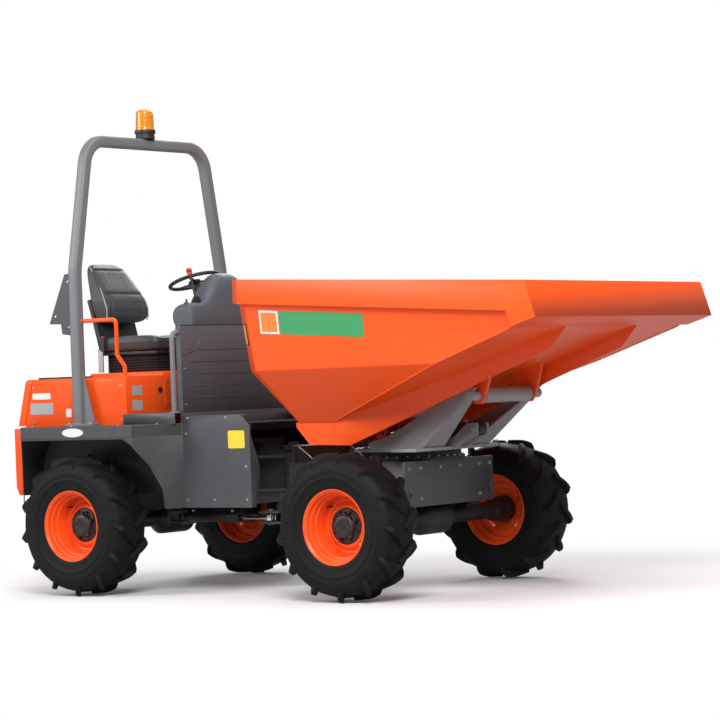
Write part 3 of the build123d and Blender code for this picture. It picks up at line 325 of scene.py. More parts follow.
# ---------------------------------------------------------------- slewing ring and swivel frame
# A bolted ball ring carries the turntable. The frame on it is welded plate in
# mid grey with folded front flanges, and its cross tube is the skip's hinge.
mid_grey = finish_of("mid_grey_paint", "mid_grey_paint", (0.160, 0.165, 0.174), (0.22, 0.214, 0.205), 0.45,
                     0.22, 420, 0.0002, 0.08)
coat_solid("slewing_ring", black_paint, 0.002)
# The swivel frame has the same mid grey paint as the hoop; this copy is painted lighter, as painted light
# that lifts the shade under the skip.
shade_lifted_grey = finish_of("shade_lifted_grey_paint", "mid_grey_paint", (0.30, 0.305, 0.315), (0.32, 0.31, 0.295), 0.42,
                       0.22, 420, 0.0003, 0.3)
coat_solid("swivel_frame", shade_lifted_grey, 0.002)
ring_low, ring_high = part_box("slewing_ring")
bolt_circle = (ring_high.y - ring_low.y) / 2 - 0.011
TURNTABLE_CIRCLE, BOLT_RISE = 0.275, 0.020
SIDES = (("left", 1), ("right", -1))
hex_bolts("slewing_ring_bolts", "front", (0, 0, 1),
          [(SWIVEL_X + bolt_circle * cos(a), bolt_circle * sin(a), ring_low.z + BOLT_RISE)
           for a in round_angles(30)], 0.0085, plated)
hex_bolts("turntable_bolts", "swivel", (0, 0, 1),
          [(SWIVEL_X + TURNTABLE_CIRCLE * cos(a), TURNTABLE_CIRCLE * sin(a), ring_high.z + BOLT_RISE)
           for a in round_angles(24, 0.5)], 0.009, plated)
hinge = Vector(joints["skip_tip"]["pos_m"])
for hand, side in SIDES:
    hex_bolts(f"hinge_pin_bolts_{hand}", "swivel", (0, side, 0),
              [(hinge.x + dx, side * 0.3555, hinge.z) for dx in (-0.011, 0.011)], 0.006, plated)

# ---------------------------------------------------------------- tyres
# Cross-ply implement tyres, 845 mm over the lugs. The black rubber is moulded
# with two rows of chevron bars that run from the crown over the shoulders.
rubber = finish_of("tyre_rubber", "tyre_rubber", (0.0048, 0.0048, 0.0052), (0.028, 0.026, 0.023), 0.60, 0.22,
                   700, 0.0006, 0.0, Specular_IOR_Level=0.2)
SEGMENTS, LUGS_PER_SIDE = 96, 13
CARCASS = [  # radius and offset from the middle, from bead to crown
    (0.2040, 0.1065), (0.2080, 0.1165), (0.2160, 0.1225), (0.2250, 0.1255), (0.2290, 0.1290),
    (0.2330, 0.1292),
    (0.2380, 0.1290), (0.2600, 0.1355), (0.2760, 0.1385), (0.2772, 0.1396), (0.2800, 0.1398),
    (0.2812, 0.1392),
    (0.3080, 0.1405), (0.3140, 0.1420), (0.3180, 0.1418), (0.3240, 0.1395), (0.3450, 0.1360),
    (0.3620, 0.1300),
    (0.3745, 0.1200), (0.3850, 0.1010), (0.3920, 0.0720), (0.3965, 0.0380), (0.3985, 0.0),
]
LUG_STATIONS = [  # run along the bar and radius of its top, the same of its root, half widths of both
    (0.000, 0.4165, -0.004, 0.390, 0.0125, 0.0185), (0.042, 0.4190, 0.042, 0.390, 0.0130, 0.0190),
    (0.084, 0.4218, 0.084, 0.386, 0.0135, 0.0195), (0.120, 0.4188, 0.118, 0.380, 0.0140, 0.0200),
    (0.148, 0.4125, 0.138, 0.368, 0.0145, 0.0200), (0.162, 0.3960, 0.146, 0.358, 0.0145, 0.0195),
    (0.1700, 0.3760, 0.150, 0.352, 0.0135, 0.0180), (0.1735, 0.3500, 0.152, 0.345, 0.0090, 0.0140),
]
LUG_LEAD, LUG_TANGENT, LUG_SIDE = -0.062, 0.66, 0.75


def turned(name, profile, segments, closed=False):
    """A solid of revolution about the Y axis from (radius, offset) points."""
    points = [(r * sin(a), y, r * cos(a)) for a in round_angles(segments) for r, y in profile]
    count = len(profile)
    rows = count if closed else count - 1
    faces = [(i * count + j, i * count + (j + 1) % count, (i + 1) % segments * count + (j + 1) % count,
              (i + 1) % segments * count + j) for i in range(segments) for j in range(rows)]
    return mesh_from(name, points, faces)


def at_wheels(source, label, kind, finish, width, angle=30):
    """Copies a shape turned about Y to all four wheels; the first label replaces the wheel's own solid."""
    for wheel in WHEELS:
        low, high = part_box("rim_" + wheel)
        piece = new_object(f"{kind}_{wheel}_{label}", source.data.copy())
        facing_out = Matrix.Rotation(0 if high.y > 0 else pi, 4, "Z")
        piece.matrix_world = Matrix.Translation((low + high) / 2) @ facing_out
        dress(piece, finish, "wheel_" + wheel, width, angle)
        if label in ("carcass", "barrel", "drum"):
            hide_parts(f"{kind}_{wheel}")
    bpy.data.objects.remove(source)


points, faces = [], []
for hand in (1, -1):
    for turn in range(LUGS_PER_SIDE):
        angle = (turn + 0.25 * (1 + hand)) * 2 * pi / LUGS_PER_SIDE
        first = len(points)
        for run, top_r, root_run, root_r, top_half, root_half in LUG_STATIONS:
            for u, r, across in ((root_run, root_r, -root_half), (run, top_r, -top_half),
                                 (run, top_r, top_half), (root_run, root_r, root_half)):
                swing = angle + atan2(LUG_LEAD + LUG_TANGENT * u + LUG_SIDE * across, r)
                points.append((r * sin(swing), hand * (0.004 + LUG_SIDE * u - LUG_TANGENT * across),
                               r * cos(swing)))
        for i in range(len(LUG_STATIONS) - 1):
            a, b = first + 4 * i, first + 4 * i + 4
            faces += [(a + j, a + j + 1, b + j + 1, b + j) for j in range(3)]
        last = first + 4 * (len(LUG_STATIONS) - 1)
        faces += [tuple(first + j for j in range(4)), tuple(last + j for j in range(4))]
at_wheels(turned("carcass", CARCASS + [(r, -y) for r, y in reversed(CARCASS[:-1])], SEGMENTS), "carcass",
          "tyre", rubber, 0, 50)
at_wheels(mesh_from("lugs", points, faces), "lugs", "tyre", rubber, 0.003, 28)

# ---------------------------------------------------------------- rims
# Pressed steel rims sprayed orange. Each steps inward in rings from its flange
# to a dished disc, which has four slots and a rubber valve.
def sprayed_orange(name, worn):
    """Orange paint as sprayed on; worn is its share of thin scratches."""
    return finish_of(name, "orange_paint", (0.93, 0.092, 0.008), (0.52, 0.15, 0.06), 0.38, 0.20, 260, 0.00025,
                     worn, Specular_IOR_Level=0.30, Coat_Weight=0.06, Coat_Roughness=0.2)


orange = sprayed_orange("orange_paint", 0.15)
black_rubber = finish_of("rubber_fittings", "tyre_rubber", (0.014, 0.014, 0.015), (0.07, 0.065, 0.058), 0.6,
                         0.3, 900, 0.0003)
RIM_OUTER = [  # radius and offset of the outer skin, from the flange inward to the disc
    (0.2140, 0.1150), (0.2140, 0.1225), (0.2085, 0.1225), (0.2010, 0.1140), (0.1950, 0.1100),
    (0.1945, 0.0890),
    (0.1925, 0.0855), (0.1845, 0.0835), (0.1825, 0.0800), (0.1820, 0.0560), (0.1800, 0.0520),
    (0.1735, 0.0500),
    (0.1715, 0.0460), (0.1710, -0.0260),
]
RIM_INNER = [
    (0.1700, -0.0540), (0.1940, -0.0660), (0.1940, -0.1050), (0.2005, -0.1130), (0.2085, -0.1225),
    (0.2140, -0.1225),
    (0.2140, -0.1150), (0.2100, -0.1120), (0.2045, -0.1075), (0.2040, -0.0600), (0.1780, -0.0480),
    (0.1780, 0.0440),
    (0.1885, 0.0620), (0.2040, 0.0750), (0.2045, 0.1075), (0.2100, 0.1120),
]
DISC = [  # outer skin of the disc, from the barrel to the hub
    (0.1720, -0.0270), (0.1690, -0.0300), (0.1560, -0.0310), (0.1540, -0.0285), (0.1510, -0.0275),
    (0.1480, -0.0290),
    (0.1440, -0.0310), (0.1390, -0.0305), (0.1335, -0.0265), (0.1215, -0.0175), (0.1160, -0.0125),
    (0.1120, -0.0105),
    (0.0780, -0.0100),
]
SLOTS, SLOT_HALF, SLOT_INNER, SLOT_OUTER = 4, radians(9.5), 0.1215, 0.1335
at_wheels(turned("barrel", RIM_OUTER + RIM_INNER, SEGMENTS, closed=True), "barrel", "rim", orange, 0.0012)
disc = turned("disc", DISC, SEGMENTS)
shape = bmesh.new()
shape.from_mesh(disc.data)
bmesh.ops.delete(shape, context="FACES", geom=[
    face for face in shape.faces if SLOT_INNER < hypot(*face.calc_center_median().xz) < SLOT_OUTER
    and abs(atan2(*face.calc_center_median().xz) % (2 * pi / SLOTS) - pi / SLOTS) < SLOT_HALF])
shape.to_mesh(disc.data)
shape.free()
at_wheels(disc, "disc", "rim", orange, 0, 40)
for wheel in WHEELS:
    thick = bpy.data.objects[f"rim_{wheel}_disc"].modifiers.new("plate_thickness", "SOLIDIFY")
    thick.thickness, thick.offset = 0.008, -1
valve = turned("valve",
               [(0, -0.032), (0.0075, -0.032), (0.007, -0.020), (0.0045, -0.016), (0.0042, 0.006),
                (0.005, 0.008), (0.005, 0.018), (0.004, 0.020), (0, 0.020)], 16)
valve.data.transform(Matrix.Translation((0.112, 0, 0.108)))
at_wheels(valve, "valve", "rim", black_rubber, 0)

# ---------------------------------------------------------------- hubs
# Planetary hubs cast in iron and painted black: a flange held by eight wheel
# nuts, and a drum with five planet-pin bosses and an oil plug.
HUB = [
    (0.0, -0.0945), (0.070, -0.0945), (0.070, -0.070), (0.078, -0.070), (0.078, -0.0100), (0.1040, -0.0100),
    (0.1040, -0.0030), (0.1000, 0.0030), (0.0945, 0.0060), (0.0760, 0.0060), (0.0715, 0.0090),
    (0.0665, 0.0290),
    (0.0630, 0.0330), (0.0540, 0.0380), (0.0330, 0.0380), (0.0310, 0.0350), (0.0, 0.0350),
]
NUTS, NUT_CIRCLE, PIN_BOSSES, BOSS_CIRCLE = 8, 0.0850, 5, 0.0660


def prism(sides, circle, turn, stations):
    """A prism on a circle about the Y axis; stations give its radius and offset in turn."""
    cx, cz = circle * sin(turn), circle * cos(turn)
    points = [(cx + r * sin(a), y, cz + r * cos(a)) for r, y in stations for a in round_angles(sides)]
    faces = [tuple(range(sides)), tuple(range(len(points) - sides, len(points)))]
    faces += [(row + k, row + (k + 1) % sides, row + sides + (k + 1) % sides, row + sides + k)
              for row in range(0, len(points) - sides, sides) for k in range(sides)]
    return points, faces


def joined(name, shapes):
    """One mesh object from several (points, faces) shapes."""
    points, faces = [], []
    for shape_points, shape_faces in shapes:
        start = len(points)
        points += shape_points
        faces += [tuple(start + k for k in face) for face in shape_faces]
    return mesh_from(name, points, faces)


at_wheels(turned("drum", HUB, 64), "drum", "hub", black_paint, 0.0012)
at_wheels(joined("bosses", [prism(20, BOSS_CIRCLE, a, [(0.0155, 0.0), (0.0145, 0.026), (0.0120, 0.0295)])
                            for a in round_angles(PIN_BOSSES)]
                 + [prism(6, 0, 0, [(0.0130, 0.034), (0.0125, 0.0378)])]), "bosses", "hub", black_paint,
          0.0010)
NUT_STEPS = ((20, 0.0100, 0.0075), (6, 0.0086, 0.0170), (12, 0.0048, 0.0215))   # sides, radius and top
at_wheels(joined("nuts", [prism(sides, NUT_CIRCLE, a, [(r, 0.0055), (r * 0.95, top)])
                          for a in round_angles(NUTS, 0.5) for sides, r, top in NUT_STEPS]),
          "nuts", "hub", black_paint, 0.0006)

# ---------------------------------------------------------------- skip
# A high-tip skip welded from 8 mm plate and sprayed orange, with a folded rim
# band and a box lip. Loads have scraped its floor bright. Fillet welds run
# down its corners; plain plates and amber reflectors are stuck to its sides.
skip_orange = sprayed_orange("skip_paint", 0.2)
tree = skip_orange.node_tree
shader = tree.nodes["Principled BSDF"]
up, place, height, over_floor, below_rim, scrape_map, scrape, cut, worn, worn_through, bare = add_nodes(
    tree, "SeparateXYZ", "TexCoord", "SeparateXYZ", "MapRange", "MapRange", "Mapping", "TexNoise", "MapRange",
    "Math",
    "Math", "Mix")
bare.data_type = "RGBA"
bare.inputs["B"].default_value = (0.20, 0.19, 0.18, 1)
for node, values in ((over_floor, {"From Min": 0.62, "From Max": 0.85}),
                     (cut, {"From Min": 0.47, "From Max": 0.62}),
                     (below_rim, {"From Min": 1.60, "From Max": 1.48, "To Max": 0.7})):
    for socket, value in values.items():
        node.inputs[socket].default_value = value
scrape_map.inputs["Scale"].default_value = (0.9, 7, 2)
scrape.inputs["Scale"].default_value = 3.2
scrape.inputs["Detail"].default_value = 7
worn.operation = worn_through.operation = "MULTIPLY"
painted = shader.inputs["Base Color"].links[0].from_socket
wire(tree,
     (place.outputs["Normal"], up.inputs[0]), (up.outputs["Z"], over_floor.inputs["Value"]),
     (place.outputs["Object"], scrape_map.inputs["Vector"]), (scrape_map.outputs[0], scrape.inputs["Vector"]),
     (scrape.outputs["Fac"], cut.inputs["Value"]), (over_floor.outputs["Result"], worn.inputs[0]),
     (cut.outputs["Result"], worn.inputs[1]), (worn.outputs[0], worn_through.inputs[0]),
     (place.outputs["Object"], height.inputs[0]), (height.outputs["Z"], below_rim.inputs["Value"]),
     (below_rim.outputs["Result"], worn_through.inputs[1]),
     (worn_through.outputs[0], bare.inputs["Factor"]), (painted, bare.inputs["A"]),
     (bare.outputs["Result"], shader.inputs["Base Color"]))
coat_solid("skip", skip_orange, 0.003)


def rounded_path(corners, radii, step=radians(5)):
    """Points along straight runs whose corners are replaced by arcs."""
    path = [Vector(corners[0])]
    for before, corner, after, radius in zip(corners, corners[1:], corners[2:], radii):
        corner = Vector(corner)
        into, out = (corner - Vector(before)).normalized(), (Vector(after) - corner).normalized()
        turn = into.angle(out)
        start, side = corner - into * radius * tan(turn / 2), (out - into * into.dot(out)).normalized()
        steps = max(2, round(turn / step))
        path += [start + into * radius * sin(turn * k / steps) + side * radius * (1 - cos(turn * k / steps))
                 for k in range(steps + 1)]
    return path + [Vector(corners[-1])]


def swept(path, section, across, sizes=None):
    """Points and faces of a closed section swept along a path; across is its first direction."""
    points, count = [], len(section)
    for i, spot in enumerate(path):
        ahead = (path[min(i + 1, len(path) - 1)] - path[max(i - 1, 0)]).normalized()
        first = (across - ahead * across.dot(ahead)).normalized()
        second, size = ahead.cross(first), sizes[i] if sizes else 1
        points += [spot + (first * u + second * v) * size for u, v in section]
    faces = [(i * count + j, i * count + (j + 1) % count, (i + 1) * count + (j + 1) % count,
              (i + 1) * count + j)
             for i in range(len(path) - 1) for j in range(count)]
    return points, faces + [tuple(range(count)), tuple(range((len(path) - 1) * count, len(path) * count))]


def circle(radius, sides):
    """Corner points of a round section."""
    return [(radius * cos(a), radius * sin(a)) for a in round_angles(sides)]


def weld_beads(name, body, seams, radius, finish):
    """Fillet welds with the ripples of each pass, along straight seams."""
    shapes = []
    for start, end in seams:
        start, end = Vector(start), Vector(end)
        steps = max(8, round((end - start).length / 0.006))
        path = [start.lerp(end, k / steps) for k in range(steps + 1)]
        sizes = [0.82 + 0.16 * (k % 2) + 0.05 * sin(0.7 * k) for k in range(steps + 1)]
        shapes.append(swept(path, circle(radius, 8), Vector((0.2, 0.3, 1)), sizes))
    return dress(joined(name, shapes), finish, body, 0, 60)


def card(name, body, corners, finish, thickness):
    """A thin flat plate or sticker from its corner points, thickened outward and inward alike."""
    piece = mesh_from(name, corners, [tuple(range(len(corners)))])
    thick = piece.modifiers.new("thickness", "SOLIDIFY")
    thick.thickness, thick.offset = thickness, 0
    return dress(piece, finish, body, min(0.0006, thickness / 4) if thickness < 0.004 else 0.001)


def wall_y(z):
    """Half width of the skip's outer side wall at a height."""
    return 0.900 + 0.111 * (z - 1.490)


def band_z(x):
    """Height of the rim band's lower edge at a station from the turntable's foot point."""
    return 1.718 - tan(radians(3.7)) * x


SKIP_X = SWIVEL_X - 0.880
seams = []
for side in (1, -1):
    seams += [((SKIP_X + 0.770, side * 0.6035, 1.0045), (SKIP_X + 1.664, side * 0.878, 1.308)),
              ((SKIP_X + 1.672, side * 0.8800, 1.3115), (SKIP_X + 2.180, side * 0.899, 1.483)),
              ((SKIP_X + 0.400, side * wall_y(band_z(0.400)), band_z(0.400) - 0.002),
               (SKIP_X + 2.195, side * wall_y(band_z(2.195)), band_z(2.195) - 0.002))]
weld_beads("skip_welds", "skip", seams, 0.0042, orange)


def plate_finish(name, slot, colour, dusty, dirt):
    """The smooth printed face of a plain plate or sticker."""
    return finish_of(name, slot, colour, dusty, 0.4, dirt, 500, 0.0001)


green_card = plate_finish("green_plate", "orange_paint", (0.045, 0.30, 0.11), (0.2, 0.28, 0.18), 0.2)
white_card = plate_finish("white_plate", "orange_paint", (0.72, 0.72, 0.70), (0.45, 0.43, 0.40), 0.3)
orange_card = plate_finish("orange_plate", "orange_paint", (0.85, 0.20, 0.03), (0.5, 0.3, 0.2), 0.2)
SKIP_PLATES = [  # name, finish, near and far station, drop below the rim band, height, gap from the wall
    ("green", green_card, 0.640, 1.225, 0.034, 0.132, 0.0012),
    ("white", white_card, 0.500, 0.634, 0.034, 0.132, 0.0012),
    ("orange", orange_card, 0.512, 0.622, 0.046, 0.108, 0.0022)]
for label, finish, near, far, drop, tall, gap in SKIP_PLATES:
    corners = [(x, band_z(x) - below)
               for x, below in ((near, drop), (far, drop), (far, drop + tall), (near, drop + tall))]
    card(f"skip_plate_{label}", "skip", [(SKIP_X + x, -wall_y(z) - gap, z) for x, z in corners], finish,
         0.0010)
amber = new_material("amber_lens", 0.12, Base_Color=(0.95, 0.34, 0.01, 1), IOR=1.49,
                     Transmission_Weight=0.35, Coat_Weight=0.5)[0]
amber["slot"] = "amber_lens"
reflector = finish_of("reflector_plastic", "amber_lens", (0.95, 0.42, 0.03), (0.6, 0.35, 0.1), 0.2, 0.15, 900,
                      0.0004, Coat_Weight=0.4)
coat_solid("skip_reflectors", reflector, 0.002)
corner_rise = Vector((-0.032, 0.040, 0.360)).normalized()
corner_along = Vector((0.7071, 0.7071, 0))
for hand, side in SIDES:
    foot = Vector((SKIP_X + 0.330, 0.810, 1.490)) + corner_rise * 0.030
    outward = Vector((-0.7071, 0.7071, 0.115)).normalized() * 0.0035
    corners = [foot + corner_along * 0.035 * u + corner_rise * 0.062 * v + outward for u, v in RECTANGLE]
    card(f"reflector_bezel_{hand}", "skip", [(p.x, side * p.y, p.z) for p in corners], black_rubber, 0.007)

# ---------------------------------------------------------------- cylinders
# One steering cylinder and one tipping ram: black painted barrels with a gland
# nut and two hose unions, and hard chromed rods.
chrome = finish_of("chrome_rod", "chrome_rod", (0.80, 0.80, 0.82), (0.5, 0.48, 0.45), 0.10, 0.12, 600,
                   0.00005, 0.1, Metallic=1.0)
CYLINDERS = [  # name, barrel pin, direction to the rod pin, barrel radius, barrel length
    ("ram", (SWIVEL_X + 0.470, 0, 0.930), (-0.650, 0, -0.010), 0.042, 0.82 * 0.650),
    ("steer", (PIVOT_X - 0.660, -0.272, 0.440), (0.720, -0.048, 0), 0.032, 0.66 * 0.7216)]
for name, pin, toward, radius, length in CYLINDERS:
    body = name + "_barrel"
    coat_solid(body, black_paint, 0.0012)
    coat_solid(name + "_rod", chrome, 0.0005)
    line = Vector(toward).normalized()
    stand = Matrix.Translation(pin) @ line.to_track_quat("Y", "Z").to_matrix().to_4x4()
    gland = turned(name + "_gland", [(radius - 0.002, length - 0.040), (radius + 0.001, length - 0.038),
                                     (radius + 0.001, length - 0.008), (radius, length - 0.005),
                                     (radius - 0.002, length - 0.005)], 36)
    foot_ring = turned(name + "_foot_weld",
                       [(radius - 0.002, 0.046), (radius + 0.002, 0.050), (radius + 0.002, 0.056),
                        (radius - 0.002, 0.060)], 36)
    for piece in (gland, foot_ring):
        piece.matrix_world = stand
        dress(piece, black_paint, body, 0.0008)
    for station, label in ((0.085, "foot"), (length - 0.062, "head")):
        hex_bolts(f"{name}_union_{label}", body, (0, 0, 1),
                  [Vector(pin) + line * station + Vector((0, 0, radius - 0.001))], 0.014, plated)

# ---------------------------------------------------------------- engine housing and rear hatch
# Folded orange sheet over the engine. The hatch closes on a rubber seal with a
# T-handle latch; vents in the roof have black moulded grilles. Plates stay blank.
for node in ("housing", "hatch"):
    coat_solid(node, orange, 0.002)
black_plastic = finish_of("black_plastic", "black_plastic", (0.014, 0.014, 0.0155), (0.062, 0.058, 0.052),
                          0.5, 0.18, 1500, 0.0005, 0.1)
grey_card = plate_finish("grey_plate", "mid_grey_paint", (0.36, 0.365, 0.37), (0.35, 0.33, 0.30), 0.3)
coat_solid("vent_grilles", black_plastic, 0.001)
BOX_FRONT_X, BOX_HALF_W = PIVOT_X - 0.750, 0.655
hatch_low, hatch_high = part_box("hatch")


def block(name, body, low, high, finish, width=0.002):
    """A softened block between two corners."""
    corners = [(x, y, z) for x in (low[0], high[0]) for y in (low[1], high[1]) for z in (low[2], high[2])]
    faces = [(0, 1, 3, 2), (4, 5, 7, 6), (0, 1, 5, 4), (2, 3, 7, 6), (0, 2, 6, 4), (1, 3, 7, 5)]
    return dress(mesh_from(name, corners, faces), finish, body, width)


# latch: a round dished escutcheon with a T-handle across it, on the leaning rear face
face_lean = atan2(0.078, 0.292)
latch = Vector((hatch_low.x + 0.0135, 0, 1.068))
stand = Matrix.Translation(latch) @ Matrix.Rotation(-face_lean, 4, "Y") @ Matrix.Rotation(pi / 2, 4, "Z")
escutcheon = turned("latch_plate",
                    [(0, -0.002), (0.040, -0.002), (0.040, 0.002), (0.037, 0.005), (0.031, 0.004),
                     (0.027, 0.001), (0, 0.001)], 40)
handle = joined("latch_handle", [prism(24, 0, 0, [(0.011, 0.0), (0.011, 0.009), (0.009, 0.011)]), swept(
    [Vector((x, 0.0105, 0)) for x in (-0.027, -0.02, 0.0, 0.02, 0.027)], circle(0.0065, 12),
    Vector((0, 1, 0)),
    [0.7, 1, 1.1, 1, 0.7])])
for piece in (escutcheon, handle):
    piece.matrix_world = stand
    dress(piece, black_plastic, "hatch", 0.0006)
block("hatch_seal", "rear", (hatch_high.x - 0.002, -0.60, 1.296), (hatch_high.x + 0.006, 0.60, 1.303),
      black_rubber, 0.001)
for label, x, z, wide, tall, finish in (("upper", -1.445, 1.205, 0.150, 0.038, white_card),
                                        ("lower", -1.445, 1.128, 0.190, 0.070, grey_card),
                                        ("small", -1.221, 1.098, 0.044, 0.052, white_card)):
    card(f"housing_plate_{label}", "rear",
         [(PIVOT_X + x + dx * wide / 2, -BOX_HALF_W - 0.0008, z + dz * tall / 2)
          for dx, dz in RECTANGLE], finish, 0.001)
for hand, side in SIDES:
    hex_bolts(f"housing_bolts_{hand}", "rear", (0, side, 0),
              [(PIVOT_X + x, side * BOX_HALF_W, z) for x in (-1.51, -0.79) for z in (1.045, 1.255)], 0.0075,
              plated)
for label, z in (("upper", 1.222), ("lower", 1.132)):
    card(f"box_front_plate_{label}", "rear", [(BOX_FRONT_X + 0.0008, -0.556 + dy * 0.045, z + dz * 0.030)
                                              for dy, dz in RECTANGLE], grey_card, 0.001)
lock = joined("box_lock", [prism(28, 0, 0, [(0.019, -0.001), (0.019, 0.003), (0.017, 0.005)]),
                           prism(20, 0, 0, [(0.0115, 0.004), (0.011, 0.0085)]),
                           prism(4, 0, 0, [(0.0042, 0.008), (0.0042, 0.0092)])])
lock.matrix_world = Matrix.Translation((BOX_FRONT_X, -0.342, 1.221)) @ Matrix.Rotation(-pi / 2, 4, "Z")
dress(lock, black_plastic, "rear", 0.0005)
block("service_lid", "rear", (BOX_FRONT_X - 0.001, -0.30, 1.120), (BOX_FRONT_X + 0.004, 0.30, 1.285), orange,
      0.0015)
hex_bolts("service_lid_bolts", "rear", (1, 0, 0),
          [(BOX_FRONT_X + 0.004, y, z) for y in (-0.28, 0.28) for z in (1.137, 1.268)], 0.007, plated)

# ---------------------------------------------------------------- side panels, arch liners and rear guard
# Dark grey folded panels with an edge strip round each fender, bolted on over
# moulded black liners, with a plain yellow plate and oval on the right. The
# orange cast guard is bolted up from below and sleeved for a towing eye.
for node in ("side_panel_left", "side_panel_right"):
    coat_solid(node, dark_grey, 0.0015)
coat_solid("arch_liners", black_plastic, 0.002)
coat_solid("rear_guard", orange, 0.007)
yellow_card = plate_finish("yellow_plate", "orange_paint", (0.90, 0.60, 0.02), (0.5, 0.42, 0.2), 0.15)
EDGE_STRIP = [  # along the fender, from the pivot
    (-1.545, 0.735), (-1.375, 0.925), (-0.480, 0.925), (-0.345, 0.625)]
STRIP_LOW, STRIP_HIGH = 0.948, 1.0165
PANEL_Y = 0.625
for hand, side in SIDES:
    strips = [([(PIVOT_X + x, side * (y + lift), z) for lift in (0.0, 0.004) for x, y, z in
                ((x0, y0, STRIP_LOW), (x1, y1, STRIP_LOW), (x1, y1, STRIP_HIGH), (x0, y0, STRIP_HIGH))],
               [(0, 1, 2, 3), (4, 5, 6, 7), (0, 1, 5, 4), (1, 2, 6, 5), (2, 3, 7, 6), (3, 0, 4, 7)])
              for (x0, y0), (x1, y1) in zip(EDGE_STRIP, EDGE_STRIP[1:])]
    dress(joined(f"fender_strip_{hand}", strips), dark_grey, "rear", 0.001)
    hex_bolts(f"panel_bolts_{hand}", "rear", (0, side, 0),
              [(PIVOT_X + x, side * PANEL_Y, z) for x, z in
               ((-0.317, 0.953), (-0.317, 0.560), (-0.300, 1.045), (-0.005, 1.045), (0.135, 0.755),
                (0.135, 0.560), (-0.110, 0.560))], 0.0095, plated)
    hex_bolts(f"fender_bolts_{hand}", "rear", (0, 0, 1),
              [(PIVOT_X + x, side * y, 1.018) for x, y in
               ((-1.36, 0.88), (-1.00, 0.88), (-0.62, 0.88), (-1.46, 0.73), (-0.45, 0.73))], 0.0095, plated)
card("oval_plate", "rear", [(PIVOT_X - 0.946 + 0.085 * cos(a), -0.9296, 0.982 + 0.026 * sin(a))
                            for a in round_angles(40)], white_card, 0.0008)
card("yellow_plate", "rear", [(PIVOT_X + 0.066 + 0.062 * u, -PANEL_Y - 0.0008, 0.915 + 0.052 * v) for u, v in
                              ((-0.9, -1), (0.9, -1), (1, -0.88), (1, 0.88), (0.9, 1), (-0.9, 1), (-1, 0.88),
                               (-1, -0.88))],
     yellow_card, 0.0008)
guard_back_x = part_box("rear_guard")[0].x
GUARD_SLOPE_RUN, GUARD_SLOPE_DROP, GUARD_SLOPE_TOP = 0.062, 0.132, 0.730   # the face below the upright back
hex_bolts("guard_bolts", "rear", (-GUARD_SLOPE_DROP, 0, -GUARD_SLOPE_RUN),
          [(guard_back_x + GUARD_SLOPE_RUN / 2, y, GUARD_SLOPE_TOP - GUARD_SLOPE_DROP / 2)
           for y in (-0.60, -0.24, 0.24, 0.60)], 0.015, plated)
tow_sleeve = turned("towing_socket_sleeve",
                    [(0.0198, -0.030), (0.0160, -0.030), (0.0160, -0.0025), (0.0180, -0.0005),
                     (0.0198, -0.0005)], 36, closed=True)
tow_sleeve.matrix_world = Matrix.Translation((guard_back_x, 0, 0.790)) @ Matrix.Rotation(pi / 2, 4, "Z")
dress(tow_sleeve, plated, "rear", 0)

# ---------------------------------------------------------------- footwell and cowl
# The floor is raised-lozenge plate between two skirts. The cowl is a moulded
# panel with fine ribs across its front, bolted down both edges.
cover_plastic = finish_of("moulded_plastic", "black_plastic", (0.068, 0.077, 0.088), (0.12, 0.118, 0.113),
                          0.5, 0.14, 1500, 0.0006, 0.05)
coat_solid("footwell_floor", dark_grey, 0.001)
coat_solid("cowl", cover_plastic, 0.008)
LOZENGE, LOZENGE_HALF, PITCH = 0.011, 0.011 * 0.34, 0.030
PLATE_Z, LOZENGE_Z, FLOOR_WIDE, FLOOR_DEEP = 1.0798, 1.0815, 1.34, 0.36
lozenges = []
for row in range(int(FLOOR_WIDE / PITCH)):
    for column in range(int(FLOOR_DEEP / PITCH)):
        x = BOX_FRONT_X + 0.020 + PITCH * column
        y = -0.665 + PITCH * row
        turn = pi / 4 if (row + column) % 2 else -pi / 4
        ring = [(LOZENGE * u * cos(turn) - LOZENGE_HALF * v * sin(turn),
                 LOZENGE * u * sin(turn) + LOZENGE_HALF * v * cos(turn))
                for u, v in ((-1, 0), (0, -1), (1, 0), (0, 1))]
        points = [(x + share * dx, y + share * dy, z) for share, z in ((1, PLATE_Z), (0.6, LOZENGE_Z))
                  for dx, dy in ring]
        lozenges.append((points,
                         [(4, 5, 6, 7)] + [(k, (k + 1) % 4, 4 + (k + 1) % 4, 4 + k) for k in range(4)]))
dress(joined("floor_lozenges", lozenges), dark_grey, "rear")


def tube(name, body, path, radius, sides, across, finish, angle):
    """A round bar or bead along a path; across is the first direction of its section."""
    return dress(joined(name, [swept(path, circle(radius, sides), Vector(across))]), finish, body, 0, angle)


cowl_low, cowl_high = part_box("cowl")
for k in range(5):
    z = 1.165 + 0.072 * k
    block(f"cowl_rib_{k}", "rear", (cowl_high.x - 0.004, -0.520, z),
          (cowl_high.x + 0.0024, 0.520, z + 0.0055), cover_plastic,
          0.0012)
for hand, side in SIDES:
    moulded_edge = rounded_path([(cowl_high.x, side * y, z) for y, z in
                                 ((0.395, 1.597), (0.400, 1.500), (0.455, 1.450), (0.575, 1.425))],
                                [0.080, 0.080], radians(8))
    tube(f"cowl_moulded_edge_{hand}", "rear", moulded_edge, 0.004, 10, (1, 0, 0), cover_plastic, 50)
    hex_bolts(f"cowl_bolts_{hand}", "rear", (1, 0, 0),
              [(cowl_high.x, side * 0.555, z) for z in (1.125, 1.340, 1.555)], 0.008, plated)

